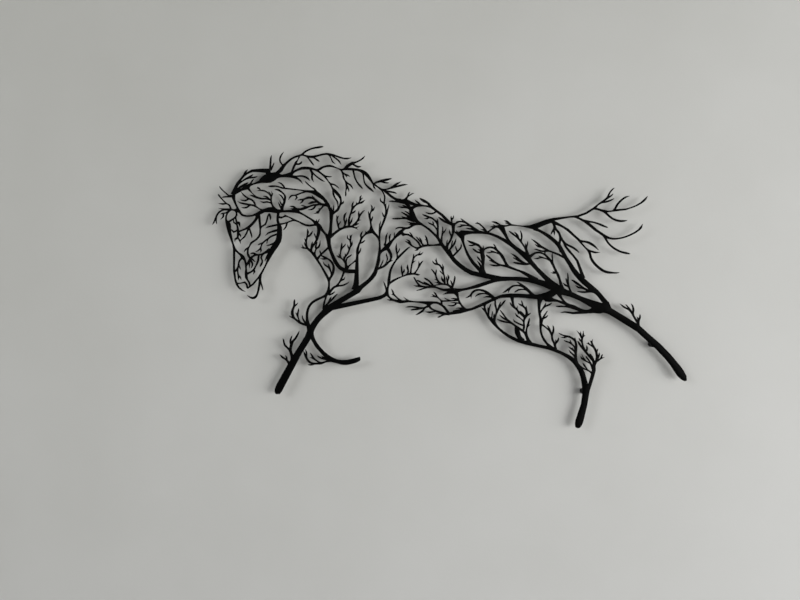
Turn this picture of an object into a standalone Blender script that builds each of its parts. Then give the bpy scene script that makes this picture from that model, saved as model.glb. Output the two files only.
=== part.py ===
"""A galloping horse cut from one steel sheet as tapering branches and twigs, hung on four round spacers.

The sheet stands in the XZ plane with its front towards -Y, and the wall is the plane Y = 0. The origin is the
middle of the back face of the spacer behind the poll. The horse is drawn on a grid of squares that scales
with LENGTH: columns run right and rows run down, and each branch is a centre line of (column, row, width) points.
A point without a width belongs to a twig, and a branch whose last point has no width ends in a sharp tip.
The widths are those of a line's dark core. The cut runs a little wider, most of all on the limbs.
"""
from math import pi, radians

import bmesh
import bpy
from mathutils import Vector
from mathutils.geometry import delaunay_2d_cdt, intersect_point_line

# Driving sizes, in metres
LENGTH = 1.0
SHEET_THICKNESS = 0.003
TWIG_ROOT_WIDTH = 0.0032
TWIG_END_WIDTH = 0.0021
TIP_LENGTH = 0.0023
FULLNESS = 0.0005
LIMB_WIDTH = 0.0064
LIMB_FULLNESS = 0.0010
SPACER_DIAMETER = 0.012
SPACER_LENGTH = 0.020
SPACER_EDGE = 0.0008
SPACER_SIDES = 24
CLEARANCE = 0.0003

# The drawing grid
LENGTH_IN_SQUARES = 475.0
SQUARE = LENGTH / LENGTH_IN_SQUARES
CURVE_STEP = 3.5
LINE_TOLERANCE = 0.25
OUTLINE_TOLERANCE = 0.45
WEB = TWIG_END_WIDTH / SQUARE / 2
WEB_CORNERS = ((-1, -1), (1, -1), (1, 1), (-1, 1))
CELL = 8.0
REACH = 3.2
SMALLEST_HOLE = (TWIG_END_WIDTH / SQUARE) ** 2
SAME_POINT = 1e-4

# Where the spacers stand, as (column, row)
SPACER_PLACES = {
    "spacer_poll": (268.0, 178.2),
    "spacer_shoulder": (357.5, 289.8),
    "spacer_near_hind_leg": (585.4, 392.2),
    "spacer_far_hind_leg": (654.6, 344.6),
}
ORIGIN_COLUMN, ORIGIN_ROW = SPACER_PLACES["spacer_poll"]

STEEL_BLACK = (0.012, 0.012, 0.013, 1.0)
SPACER_BLACK = (0.010, 0.010, 0.011, 1.0)


# Head and forelock
def forelock():
    """The tuft blown forward over the brow, springing from the poll."""
    return [
        [(260, 181.2, 3), (263.5, 179.3, 6), (268, 178, 8.8), (272, 176.8, 8.3), (275.5, 175.6, 6),
         (278, 174.5, 5)],
        [(268.5, 176, 5), (268, 171, 4)],
        [(269.5, 170.4, 3.2), (266.8, 170.8, 3.6), (263.7, 170.6, 3), (258, 170.4, 2.6), (252, 170.6, 2.1),
         (248.9, 172.2, 1.6), (243.5, 175.5, 1.9), (239.9, 180.2, 1.6), (237.5, 183.4, 2.4),
         (234.5, 189.7, 2.7), (232.7, 194.6, 4)],
        [(243.5, 175.4), (245.3, 171.7), (247.8, 169.3)],
        [(270, 170.5, 2), (270.1, 165.4, 1.5), (270.3, 160.9, 1.2), (271.6, 155)],
        [(270.5, 169.5), (272.5, 166.3), (273.9, 162.3)],
        [(236.3, 186, 1.5), (239.9, 182.5, 1.3), (243.5, 180.5, 1.3), (248.9, 177.3, 2), (253.2, 174.3)],
        [(249, 177.8), (254.3, 177.2), (257.6, 176)],
        [(237.5, 188.8), (240.8, 186.3), (244.4, 184.5), (248.2, 182.4)],
        [(233.6, 192.4, 4.5), (237.2, 191.2, 3.6), (240.8, 189.7, 2.3), (244.4, 188, 3), (247.1, 187, 4.4),
         (249.8, 184.7, 2.2), (253.4, 184.1, 1.6), (257, 182.5, 2.2), (261, 181, 2.7)],
        [(249.8, 184), (251.6, 181.6), (253.9, 178.8)],
        [(247.5, 187.5, 2.4), (249.3, 189.7, 2.2), (250.7, 191.9, 1.5), (253.4, 194.2, 1.5),
         (256.3, 196.4)],
        [(232.2, 196, 1.4), (228.3, 195.3), (224.7, 192.4), (222, 189.7), (219.2, 185.8)],
        [(231.5, 196.5), (226, 196.6), (221.5, 197.5)],
    ]


def brow():
    """The front of the face with its loops, down to the nose."""
    return [
        [(232.7, 194.6, 4), (233.2, 197, 3), (234, 200, 2), (236, 204.5, 1.8), (238, 208.5, 1.8),
         (239.5, 212, 2.2), (242, 214.7, 1.8), (247, 216, 1.6), (252, 215.6, 1.7), (256, 214.3, 2.4),
         (260, 212.5, 3), (264, 210.3, 3), (270, 209.5, 4.5), (275, 210.3, 5), (278, 211.4, 2.7)],
        [(240.4, 191.2), (243.5, 194.9), (247.5, 198, 1.6), (252, 200, 1.6), (254.5, 203, 1.5),
         (255.5, 206, 1.5)],
        [(249, 198.8), (245, 200.5), (240, 199.4)],
        [(262, 209.8, 1.8), (258, 207.7, 1.8), (254, 205.5, 1.8), (249, 204.3, 1.4), (244, 203.7),
         (240, 202.7), (236.7, 200.8)],
        [(250, 205), (246.5, 207.3), (241, 207.3)],
        [(271, 200, 1.6), (266, 198.5), (262, 198.6, 1.5), (258, 197), (254, 195.9), (249.5, 194.6)],
        [(268.5, 199), (267, 196.9), (262.6, 196.1)],
        [(271, 203), (267, 201.8), (263, 202.3), (259.6, 200.8)],
        [(271, 196, 1.6), (271.2, 203, 1.6), (273, 206.5, 2), (275, 210, 2.5)],
        [(237.5, 208.8, 1.6), (234, 210, 1.6), (231, 209.5, 1.7)],
        [(231, 209.5, 1.7), (227.5, 212.5, 1.5), (226, 216, 1.5), (226, 220, 1.6), (228, 224, 4.2),
         (228.7, 228, 3.7), (229.5, 233, 2.7), (231, 238, 2), (233.2, 244, 2), (234.2, 249, 2.4)],
        [(234, 210, 1.5), (236.3, 212.2, 1.4), (236.3, 215, 1.4), (235, 217.5, 1.6), (231.5, 219.5, 1.8),
         (228, 222, 1.8)],
        [(236, 211.5, 1.3), (239.2, 211.5, 1.3)],
        [(231, 209.5), (229, 205), (226, 203.3), (223, 200.3), (220.5, 197.5), (217.7, 193.8)],
        [(226, 203.5), (222.5, 204), (217.9, 203.2)],
        [(231, 209.5), (228, 208.7), (223, 209), (218, 208.2)],
        [(230, 209.6, 1.6), (224, 209.5, 1.5), (219, 212, 1.4), (216.3, 216, 1.4), (215, 219, 1.4),
         (213.4, 222.5, 1.3), (212, 224.7)],
        [(216.2, 216.5), (216.2, 221), (216.7, 224.3)],
        [(228.5, 211), (226.5, 212.5), (223.5, 213.3), (220, 214.2)],
        [(223.5, 213.3), (223, 216.5), (220.2, 219.5)],
        [(235.5, 217, 1.4), (236.3, 221, 1.5), (237.5, 229, 1.8), (238.3, 233, 2), (237.5, 237, 1.6),
         (236.5, 239.8)],
        [(236, 224), (233.8, 222.5), (233.4, 218.8)],
        [(236.4, 222), (239, 222.3), (239.9, 224.6)],
        [(238.6, 222.8), (240, 227.5)],
        [(237.8, 230), (233.5, 232), (231, 229)],
        [(238.3, 233), (240, 235), (240.9, 237.5)],
        [(237.5, 237), (239.5, 240), (240.6, 244)],
        [(237, 237.5), (235, 239), (234.6, 242)],
    ]


def cheek():
    """The cheek's curves and their twigs."""
    return [
        [(257, 187.4), (259.2, 188.3), (260.8, 190.2)],
        [(281.3, 191.8), (279.1, 190.2, 1.7), (274.2, 189.3)],
        [(271.3, 197, 1.5), (269.5, 194.2, 1.5), (266.8, 192.4, 1.5), (264.6, 190.8, 1.4), (261.5, 190.1),
         (256.8, 190.7)],
        [(269.7, 194.3), (269.6, 193), (268.4, 191.2)],
        [(271.3, 196.5), (272.2, 193.5), (270.8, 190.5)],
        [(308, 191.5, 2.3), (304.4, 190.8, 1.5), (299.9, 189.7, 1.3), (290, 188.5, 1.3), (282, 187.9, 1.3),
         (277.5, 186.3), (268, 186.2)],
        [(284.7, 187.8), (282.9, 185.2), (280.6, 183.2), (277.4, 182.4)],
        [(277.5, 211.2, 2.6), (282, 210.5, 2.3), (282, 207.8, 2.3), (283.1, 205.1, 2), (284.2, 202, 2),
         (284.8, 199.3, 1.6), (284.9, 195.9, 1.5), (283.5, 194.3, 1.4), (281.5, 191.9, 1.5), (279, 190)],
        [(284, 201), (282.4, 198.4), (281.1, 195.7), (278, 193.6)],
        [(282.8, 206), (280.6, 202.9), (279.4, 200)],
        [(282, 209), (281.1, 207.3), (279.7, 205.1), (278.4, 201.9)],
        [(257.5, 214.4, 3), (256, 219, 2.2), (252.5, 223, 2.2), (249, 226.7, 2.2), (244, 229.5, 1.6),
         (240, 231, 1.4), (237.8, 231.8, 1.4)],
        [(248.8, 227), (247, 232), (244.5, 236.5), (241, 240), (239, 241.4)],
        [(249, 228), (250.8, 233), (251.6, 238)],
        [(258.8, 214, 2), (259.5, 222, 1.7), (260.3, 229, 1.8), (259.5, 235, 1.6), (256, 239.5, 1.5),
         (251, 243, 1.6), (248.8, 247, 1.7), (247.6, 250, 1.6), (247.5, 253, 1.6), (248.3, 256, 1.6),
         (250.3, 258.6, 1.8)],
        [(260.3, 227.5, 1.6), (263, 225.5), (265.3, 224), (266, 221.5), (267.3, 218), (268.9, 213)],
        [(269, 214), (270.3, 217), (270.2, 220.2)],
        [(278.4, 224.5, 1.7), (276, 225), (272, 226), (268, 226.8), (265, 228.2)],
        [(278.5, 229.5, 2), (274, 231.5), (270.5, 232), (268, 233), (265, 235.8)],
        [(278.5, 233.8, 2), (275, 234.5, 1.6), (271, 236.3, 1.5), (268, 238.5, 1.6), (264.5, 241, 1.6),
         (262, 243.5, 1.5), (261, 246, 1.4), (260.3, 248.5, 1.4), (258, 250.3), (255.2, 251.8)],
        [(262.5, 242.7), (260, 243.7), (257.6, 245.4)],
        [(268.2, 239, 1.3), (267.2, 241.5), (266.8, 244)],
        [(260.7, 248), (260.9, 250.5), (260.4, 252.6)],
        [(248.8, 247), (246, 249), (244, 252)],
        [(274.5, 243, 1.8), (270, 244.7, 1.3), (266, 245.3)],
    ]


def muzzle():
    """The nostril, the lips and the beard under the chin."""
    return [
        [(278.4, 211.5, 2.2), (277.5, 217.2, 2), (277.5, 220.4, 2.1), (278.4, 223.5, 2.3),
         (279.3, 227.1, 4), (279.2, 235.6, 4.8), (278.2, 240.5, 5), (274.9, 246, 4.9), (272.1, 250, 4.8),
         (269.9, 255, 3.7), (268.3, 259.5, 2.7), (266.8, 263.3, 2.1), (263, 270.5, 1.8), (260.5, 274, 2.2),
         (255.5, 281, 1.6), (253, 284, 1.6), (250, 286.3, 1.8), (247.3, 288.3, 1.2)],
        [(234, 248.5, 2), (233.9, 254, 1.6), (234, 260, 1.5), (233.9, 266, 1.5), (234, 271, 1.9),
         (234.3, 275, 1.7), (235, 279, 1.5), (236, 282.5, 1.7), (237, 285, 1.6), (239, 287.8, 1.4),
         (242, 290, 1.5), (245.6, 291.8)],
        [(236, 283, 1.6), (239, 283.5, 1.4), (242, 282.8, 1.4), (244.5, 282.2, 1.5), (246.3, 284, 1.6),
         (246.8, 286.3, 1.6), (247.5, 288.2, 1.4)],
        [(234.2, 248.6, 2), (237.5, 252.3, 1.8), (240.5, 254.7, 2), (242.5, 257, 3), (244.5, 260, 1.8),
         (245.8, 264, 1.7), (245.7, 269, 1.8), (246, 273.5, 2.4), (246.2, 277, 2.4), (247.2, 280, 1.7),
         (249, 282.5, 1.6), (249.7, 285, 1.5), (250, 286.5, 1.6)],
        [(242.3, 257.5, 2), (239.5, 260.5, 1.5), (238.3, 264, 1.6), (237.5, 268, 1.6), (236, 270.5, 1.5),
         (234.2, 272, 1.5)],
        [(237.6, 267.5, 1.6), (237.6, 271, 1.6), (238, 275, 1.6), (238.5, 277.5, 1.3), (238, 280.6)],
        [(238.2, 275.5), (240, 277), (241.2, 280)],
        [(238.3, 264), (239.2, 266), (240.2, 269.7)],
        [(246.2, 274.3, 2), (248, 273, 1.8), (251, 272, 1.8), (253.5, 270, 1.8), (255, 267, 1.8),
         (256.5, 263.5, 1.8), (258, 260.5, 1.8), (258.3, 257.5, 1.6), (258.7, 254.6, 1.6)],
        [(253.9, 269.6), (254.5, 271.8), (252.8, 274.6)],
        [(270, 249.3, 3), (265.6, 252.6, 2.4), (262, 254.3, 1.8), (258.5, 254.6, 1.8), (255, 254.9, 1.8),
         (252, 256.5, 1.8), (250.3, 258.3, 2.2), (249, 261, 1.7), (247.5, 263.3, 1.6), (245.8, 266, 1.6)],
        [(249.6, 260), (249, 264), (249.4, 268.2)],
        [(251, 257.8), (253, 260), (255.6, 262)],
        [(250.2, 259), (252.3, 264), (250.8, 268.4)],
        [(256.8, 254.7), (253.5, 253), (250, 253.6)],
        [(262.5, 254.2, 1.4), (261, 257.5, 1.4), (262.2, 261, 1.3), (261, 264), (259.8, 267)],
        [(269, 253, 2), (266, 258), (264.8, 261.5)],
        [(260.3, 274.5, 2.4), (260, 279, 2.2), (259.3, 283, 1.8), (258.5, 287, 1.6), (258, 291, 1.6),
         (256.7, 295, 1.8), (254.5, 297.5, 2), (252, 298, 1.8), (249.7, 297, 1.4), (246.8, 294.9)],
        [(260.3, 280.5, 1.7), (261.5, 284.5, 1.4), (262.2, 288), (262.7, 290.4)],
    ]


# Mane
def mane_crest():
    """The long locks streaming back from the poll."""
    return [
        [(283.3, 166), (282, 164.5), (280.2, 161.8), (279.7, 158.7), (281.1, 155.1), (283.7, 151.6)],
        [(276, 174.5, 3.6), (277.5, 172.6, 2.8), (281, 169.5, 3.1), (283.3, 165.9, 2.5), (286.5, 162.7, 2),
         (290, 159.6, 1.7), (294.5, 156.9, 1.5), (299.5, 155.3, 1.6), (302.2, 154.4, 1.8),
         (304, 152.4, 1.5), (307.1, 150.6, 1.3), (311.1, 148.6, 1.2), (317.9, 147, 1.2), (323.4, 146.4)],
        [(301.5, 154.7, 1.6), (304.4, 155.3, 1.4), (308, 156.5, 2), (313.4, 156.7, 2.1),
         (317.9, 155.3, 1.4), (322.4, 154.3, 1.4), (326.8, 153.8, 1.8), (330, 154.1, 1.8),
         (336.7, 155.8, 1.3), (343.8, 158.3, 1.2), (347.4, 158.5, 1.1), (351.5, 157.5)],
        [(299.5, 155.5, 1.5), (298.1, 159.6, 1.3), (295.9, 162.3, 1.9), (294.1, 165.9, 1.7),
         (292.5, 169, 1.5), (291.2, 173.5, 1.8)],
        [(295.3, 164), (299, 163.9), (301, 162.7), (302.1, 160.8)],
        [(306.7, 156.3), (308.4, 158.7), (310.7, 161.6), (314, 165.4)],
        [(312.5, 156.8), (315.6, 158.9), (319.6, 161.5)],
        [(328, 154), (330.4, 156.5), (331.3, 159.2), (332.7, 161.8), (335.9, 164.2)],
        [(330.5, 154.3), (334.5, 157.1), (337.6, 159.6), (339.9, 162.3), (341.3, 165)],
        [(277, 175.3, 4.4), (282, 176.1, 2.6), (286.5, 175.4, 2.9), (290, 175.4, 4.7), (292.3, 172.6, 2.2),
         (294.5, 171.5, 1.9), (298.1, 169.5, 1.8), (301.7, 168.1, 2.2), (306.2, 168.1, 2.7),
         (310.2, 168.1, 2), (317, 169.9, 1.8), (319.7, 169, 1.8), (322.4, 167.2, 1.7), (325.9, 166.1, 1.7),
         (330, 165.7, 1.9), (333.6, 166.5, 1.6), (337.2, 168, 1.4), (341.1, 169.7, 1.5),
         (346.5, 168.7, 2.1), (350.1, 168.9, 1.8), (357.2, 169.5, 2), (362.4, 171.8, 2.6),
         (365.2, 173, 2.8), (367.3, 174.8, 2.6), (368.9, 177.6, 1.9), (370.9, 180.7, 1.5),
         (372.9, 183.6, 1.7), (377, 185.9, 1.5), (381.2, 189.4, 2), (383.7, 189.7, 1.6), (386.8, 189, 1.4),
         (390, 188.1, 1.5), (392.2, 187.4, 2.2), (394.5, 185.4, 1.7), (397.2, 183.4, 1.5), (401.5, 181.3)],
        [(391.5, 187.8, 2), (396.7, 186.3, 1.5), (400.3, 185.4, 1.3), (404, 184.6, 1.3), (408, 184.4)],
        [(291, 176, 3), (293.6, 176.7, 2.5), (295.9, 177.6, 2.2), (298.1, 178.9, 1.5), (300.4, 180.7, 1.4),
         (303, 184.2)],
        [(293, 176.4), (298.1, 175.8, 1.5), (302.2, 176, 1.6), (305.3, 176.9, 1.7), (308, 178.4, 1.5),
         (310.2, 181)],
        [(310, 168.6, 2), (312, 172.6, 2), (312, 176.2, 1.5), (312, 178.9, 1.4), (314, 182.3)],
        [(312, 172.5, 1.8), (314.3, 174, 1.6), (316.5, 176.4, 1.3), (319.7, 178.9, 1.2), (324.8, 181.4)],
        [(314.5, 169.3, 1.6), (319.2, 171.7, 2), (322.4, 174, 1.9), (324.6, 176, 2.1), (326.2, 178.9, 1.5),
         (328.2, 181.6, 1.4), (330.4, 183.8, 1.6), (331.3, 186.5, 1.6), (333.1, 189.2, 2.2),
         (335.8, 191.9, 2.7), (338.3, 194.9, 2.5), (340.3, 197.7, 2), (341, 200.6, 1.8),
         (340.5, 203.8, 2.2), (339.4, 206.9, 1.8), (337.6, 209.6, 2.2), (335.4, 211.8, 2.1),
         (331.2, 214.4, 2.2)],
        [(324.6, 176), (327.5, 176.4), (332, 176.3)],
        [(330.2, 183.4), (334.5, 184.7), (339, 188.6)],
        [(332.8, 189), (333.2, 193.9), (334.4, 197), (336.1, 200), (337.6, 202.4, 1.4), (337.8, 204.7),
         (337.4, 208.6)],
        [(340.6, 204), (342.9, 202.8), (344, 200.4)],
    ]


def mane_fringe():
    """The short locks that hang between the crest and the neck."""
    return [
        [(343.5, 169, 2), (346.9, 166.3, 2.6), (349.6, 164.3, 2.2), (352.3, 163, 2.4), (355.4, 162.2, 1.4),
         (358.6, 160.9, 1.3), (360.8, 159.6), (363.5, 157.4), (365, 155.6)],
        [(352, 163.5), (354.5, 165.2, 1.4), (357.7, 166.6, 1.6), (361.2, 166.2)],
        [(340.8, 169.8, 1.5), (342.6, 172.6, 1.8), (343.1, 175.3, 1.6), (343.8, 178.4, 1.5),
         (345.6, 181.1, 1.6), (347.8, 183.4, 1.5), (350.1, 184.7, 1.4), (351.4, 186.7), (353, 189.4)],
        [(342.6, 172.6), (346, 174.6), (350.1, 176.6)],
        [(345.5, 174.4), (346.9, 177.6)],
        [(345.4, 181, 1.5), (346.5, 185.2, 1.6), (346.9, 187.4, 2.1), (345.8, 189.7, 1.3), (345.6, 196.5)],
        [(347, 186), (348.3, 188.3), (348.7, 192)],
        [(352.9, 169.3, 1.8), (353.9, 173.5, 1.4), (355, 178, 1.4), (356.8, 181.6, 1.4), (359.5, 184.7),
         (362.8, 188.9)],
        [(362.8, 172, 2.2), (363.5, 176.2, 1.5), (363.7, 179.8, 1.4), (364.9, 183.4, 1.4), (368, 186.5),
         (373.8, 191.9)],
        [(373.2, 184), (373.6, 186.5), (376, 189.3)],
        [(373, 184.2), (376.1, 182.3), (380.1, 181.4, 1.4), (384.6, 180.5), (391.9, 178.2)],
        [(380.5, 181.3), (384.6, 182.5), (389.2, 182.5)],
        [(383.5, 189.7, 2), (386.8, 192.4, 2.1), (391.3, 196.4, 2.1), (396.5, 199.4, 2.3), (400, 201, 4.4)],
        [(385.5, 191), (390.9, 191.7), (394.5, 192.6), (397, 193.7)],
        [(397.5, 201.6, 1.8), (393, 201.3), (388.5, 201.3)],
    ]


# Neck and throat
def throat():
    """The front line of the neck from the jaw to the chest, and the locks that cross the neck."""
    return [
        [(276, 211, 4), (282, 211.2, 2), (286.5, 211.2, 1.6), (290.9, 211.2, 2), (294.5, 210.9, 3.1),
         (297.2, 211.3, 3.1), (299.9, 212.7, 1.9), (307.1, 216.6, 1.9), (310.7, 219, 1.8), (313.4, 221, 2),
         (316.1, 223.5, 3.6), (318.8, 225.8, 3.6), (320.6, 228, 2.7), (323.3, 231.6, 2), (326, 234.7, 2.2),
         (328.2, 238, 4.4), (328.4, 241, 4.2), (328.8, 244.5, 3.4), (330, 248.5, 3.3),
         (331.5, 252.5, 3.3), (333, 256.5, 3.2), (334.8, 260.7, 3.2), (337.2, 264.6, 3.2),
         (340.6, 268.2, 3.2), (345, 270.6, 3.6), (350, 271.3, 3.4), (356.5, 271.3, 3.2)],
        [(316.5, 191.6), (314.3, 188.8), (311.1, 187), (308, 184.3), (304.9, 180.6)],
        [(328.8, 238, 3.6), (329.8, 234.5, 3.3), (330.7, 230.2, 3), (330.9, 226.2, 3.2), (331.2, 219, 3.2),
         (331.3, 213.6, 3.5), (330.9, 210.9, 3.1), (329.5, 208.3, 2.3), (328.2, 205.1, 2.7),
         (326.4, 202.4, 2.5), (324.2, 199.7, 2.3), (318.8, 195, 3.8), (315.2, 192.6, 4.3),
         (312, 191.8, 2.8), (307, 191.3, 2)],
        [(306, 191.3), (302.2, 192.6), (298.6, 194.2), (295.4, 195.1), (291.8, 195.5), (289, 197.2)],
        [(291.5, 195.6), (288.2, 199.8)],
        [(295.5, 195.2), (296.8, 197.3), (294.6, 200)],
        [(327.8, 205.3, 2.7), (321.9, 204.2, 1.9), (316.5, 201.1, 2), (313.2, 197.9, 2.1),
         (310.2, 197.9, 1.6), (306.7, 197.9, 1.8), (304, 199.1, 1.5), (297.5, 200.3)],
        [(304, 199), (301.7, 202), (299.4, 203.9)],
        [(306.5, 198), (309.4, 196.2)],
        [(313.2, 198), (311.8, 194.8)],
        [(317.5, 201.7), (312.5, 202.4, 1.6), (307.6, 203.6)],
        [(314.3, 201.8), (311, 201.4)],
        [(321.5, 204.2, 1.8), (317, 204.4, 1.5), (313.4, 204.9, 1.4), (307.6, 206.7, 1.6),
         (301.7, 208.9, 2.2), (298.1, 209.2, 2.2), (295, 208.7, 1.8), (289.6, 208.7)],
        [(296.8, 209), (294.1, 206.9, 1.5), (289.4, 206.3)],
        [(306.8, 207), (303.5, 205.6), (300.8, 205.4)],
        [(316.5, 204.6), (313.4, 208.3), (311.1, 209.4), (307.4, 209.9)],
        [(325, 205, 1.6), (322.4, 206.5, 1.5), (320.6, 208.7, 1.5), (319.4, 210.9, 1.4),
         (317.9, 212.7, 1.5), (313.2, 213.7)],
        [(320.5, 208.8), (317.4, 208.8)],
        [(319.3, 210.8), (315.7, 212)],
        [(278.3, 216.8, 2), (281.3, 217.5, 1.6), (283.8, 216.3), (286.9, 216.1, 1.4), (289.6, 217.2),
         (292.3, 218.8), (295.2, 220.7, 1.5)],
        [(287, 216.2), (283.8, 214.6)],
        [(278.6, 224.3, 1.7), (283.8, 223.5, 1.3), (289.2, 221.5, 1.2), (292.3, 220.4, 1.3),
         (295.4, 220.4, 1.4), (299, 221.9, 1.3), (302.2, 223.7, 1.4), (305.8, 225.1, 1.6),
         (309.8, 225.5, 1.7), (313.8, 225.1, 1.9), (317.5, 224.5, 2)],
        [(286.9, 222.5), (286, 226.2), (282.7, 230.2)],
        [(316.6, 223), (316.4, 219)],
        [(317.4, 223), (319.5, 218.5)],
        [(331, 212, 2), (331.3, 206.8)],
        [(332.3, 213.5), (333.5, 209), (333.5, 204.2)],
        [(358.5, 229.8), (355, 227.8, 1.5), (352.3, 226.6, 1.7), (348.7, 226.4, 2), (342, 228, 2.1),
         (336.1, 232, 1.9), (333, 234.3, 2.2), (329, 237, 3)],
        [(355, 227.9), (359.3, 226.1)],
    ]


def neck_locks():
    """The upright locks in the middle of the neck."""
    return [
        [(339.2, 229.8), (338.2, 225.3, 1.6), (336.8, 219.9, 1.5), (337, 217.7, 1.4), (336.5, 214.8)],
        [(336.9, 218), (339, 215.5)],
        [(338.2, 225.3), (339.5, 223.5), (340.6, 220.8)],
        [(343.8, 227.6, 1.6), (345.1, 223.5, 1.7), (344, 219, 1.5), (344.4, 216.6, 1.5), (345.3, 215),
         (346.7, 212.2)],
        [(344.5, 216.5), (344.8, 213)],
        [(345.1, 223.3), (346.5, 220.4), (346.6, 217.2)],
        [(348.8, 226.5, 2), (349.2, 224, 2), (348.7, 220.8, 1.8), (349.2, 218.1, 1.6), (349.8, 215.4, 1.6),
         (350.7, 212.7, 1.7), (351.4, 210.5, 1.6), (352.3, 208.3, 2), (354.5, 206, 1.6), (359, 203.1, 1.5),
         (361.7, 202.6, 1.4), (365.1, 199.7)],
        [(352.2, 208.3), (352.1, 205.6, 1.5), (353.8, 201.2)],
        [(358.5, 203.3, 1.5), (359, 201.1, 1.4), (360.1, 199.3, 1.4), (360.1, 197.3), (361.7, 194.7)],
        [(360, 199.8), (363, 197.5)],
        [(356.5, 204.7), (356.6, 201.5)],
        [(350.5, 213.5), (353.6, 212.3), (355.8, 210.1)],
        [(349.2, 224.8), (351.4, 221.3), (352.5, 216.7)],
        [(351.5, 226.5, 2), (354.5, 224.4, 2), (355.9, 222.4, 1.8), (357.7, 220.4, 1.8),
         (358.8, 218.1, 1.8), (359.2, 215.9, 2), (361, 213.6, 1.5), (364.9, 210)],
        [(359, 216), (358.7, 213.2, 1.5), (358.9, 210.3)],
        [(357.8, 220.3), (361.4, 219.8)],
        [(354.6, 224.3), (357.2, 224), (359, 222.9)],
        [(371.3, 231.5, 5), (371.6, 228.9, 4), (371.4, 225.8, 2.2), (370.7, 222.6, 1.5),
         (369.8, 216.3, 1.6), (368.9, 214.1, 1.3), (368.3, 210.8)],
        [(370, 217), (370.5, 212.3, 1.4), (371.6, 210.5, 1.6), (373.6, 209.2, 1.4), (374.9, 206.3)],
        [(371.6, 210.8), (372, 206.9), (370.4, 204.2)],
        [(370.6, 222), (372, 218.6), (372.8, 215.7)],
        [(371.3, 231, 4), (368.9, 231.9, 2.7), (366.2, 233.4, 1.9), (363.5, 236.1, 1.7),
         (361.3, 238.3, 1.9), (359.5, 243.3, 1.7), (358.4, 245.9, 1.9), (357.4, 250, 2)],
        [(361.3, 238.5), (360.6, 235.6), (361.5, 233.4), (362.9, 231)],
        [(366, 233.6), (365.3, 230.6)],
        [(359.5, 243.3), (362.2, 242.4), (365.2, 239.8)],
        [(371.5, 231, 4), (373.4, 231.9, 2.3), (376.5, 235.6, 1.7), (378.8, 237.9, 2.2), (379.7, 241.5, 2),
         (379.9, 245.1, 2), (379.7, 250, 2.2), (379.3, 255, 2.6), (378.5, 260, 3), (377.5, 264, 3.4),
         (376.5, 268, 3.6), (375.5, 271.5, 3.2), (373.8, 274.5, 4), (371, 277.7, 3.6), (368.5, 281, 3.2),
         (365, 284, 3), (361.5, 286.8, 3.6), (357.5, 290, 6)],
        [(379.6, 238.5, 1.6), (379.7, 233.4, 1.5), (379.9, 230.2, 2), (381.2, 227.1, 1.8),
         (382.8, 224.4, 1.7), (383.9, 221.3, 1.7), (384.8, 217.7, 1.8), (385.7, 214.1, 1.6),
         (385.9, 211.8, 2), (385.3, 208.7, 1.5), (385.1, 206, 1.5), (384.2, 203.8, 1.6),
         (384.4, 201.1, 1.4), (384.2, 198.8, 1.5), (384.7, 196.5, 1.3), (382.8, 193.4, 1.4),
         (381.7, 189.6, 1.6)],
        [(384.1, 203.6), (381.9, 202), (380.6, 200.6), (380.4, 197.3)],
        [(385.2, 207), (386.3, 203)],
        [(385.8, 212), (387.7, 209.6), (388.4, 206.9), (389, 203.6)],
        [(384.9, 217.3), (383, 215), (381.9, 211.6)],
        [(380, 229.8), (379.5, 227), (379.7, 224.4), (381, 220.2)],
    ]


def neck_middle():
    """The fan of twigs that rises from the lower edge of the neck."""
    return [
        [(346.7, 271, 3.2), (346.3, 267, 3), (345.8, 264, 1.9), (344.5, 261.5, 1.8), (342.5, 259.5, 1.7),
         (340.5, 257.5, 1.5), (338.5, 257), (336.4, 254.9)],
        [(340.9, 258, 1.5), (340.2, 255.5, 1.4), (340.6, 252.5, 1.5), (341, 249.5, 1.5),
         (342.8, 247.5, 1.4), (345.8, 243.4)],
        [(341.4, 249), (341.8, 245.5), (341.8, 242.4)],
        [(339.8, 257.2), (338.5, 253.4)],
        [(346, 264.5, 1.8), (346.3, 260.5, 1.6), (347, 258), (349, 256.8), (351.9, 254)],
        [(344, 260.7, 1.8), (344.3, 257.5, 2), (346, 256, 1.6), (347.7, 253.5, 1.6), (348.7, 250.5, 1.5),
         (350, 247.5, 1.5), (350.7, 244.5, 1.4), (350.3, 241.5, 1.4), (349.3, 239.7), (347.4, 238),
         (347.7, 234.8)],
        [(349.2, 249.4), (348, 246.5), (347.6, 244)],
        [(350.2, 247), (351.9, 244.5), (352.2, 240)],
        [(350.2, 241.4), (350.5, 237, 1.5), (349.7, 234.5)],
        [(350.5, 237.3), (352.4, 234)],
        [(345.6, 256.4), (344.8, 252.4)],
        [(346.7, 268.5, 2), (349, 265.7, 1.5), (351.5, 263.7, 1.5), (354.5, 261.3, 1.5), (357, 259.8, 2)],
        [(357.4, 249, 2), (357.4, 252, 2), (357.3, 256, 2.2), (357, 260, 2.6), (356.7, 265, 2.6),
         (356.6, 270, 3), (356.4, 275, 3.3), (356.3, 280, 4.1), (356, 285, 5.2), (355, 290, 7)],
        [(357.6, 254.5, 1.4), (359.8, 251.5), (360.9, 247.4)],
    ]


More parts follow.
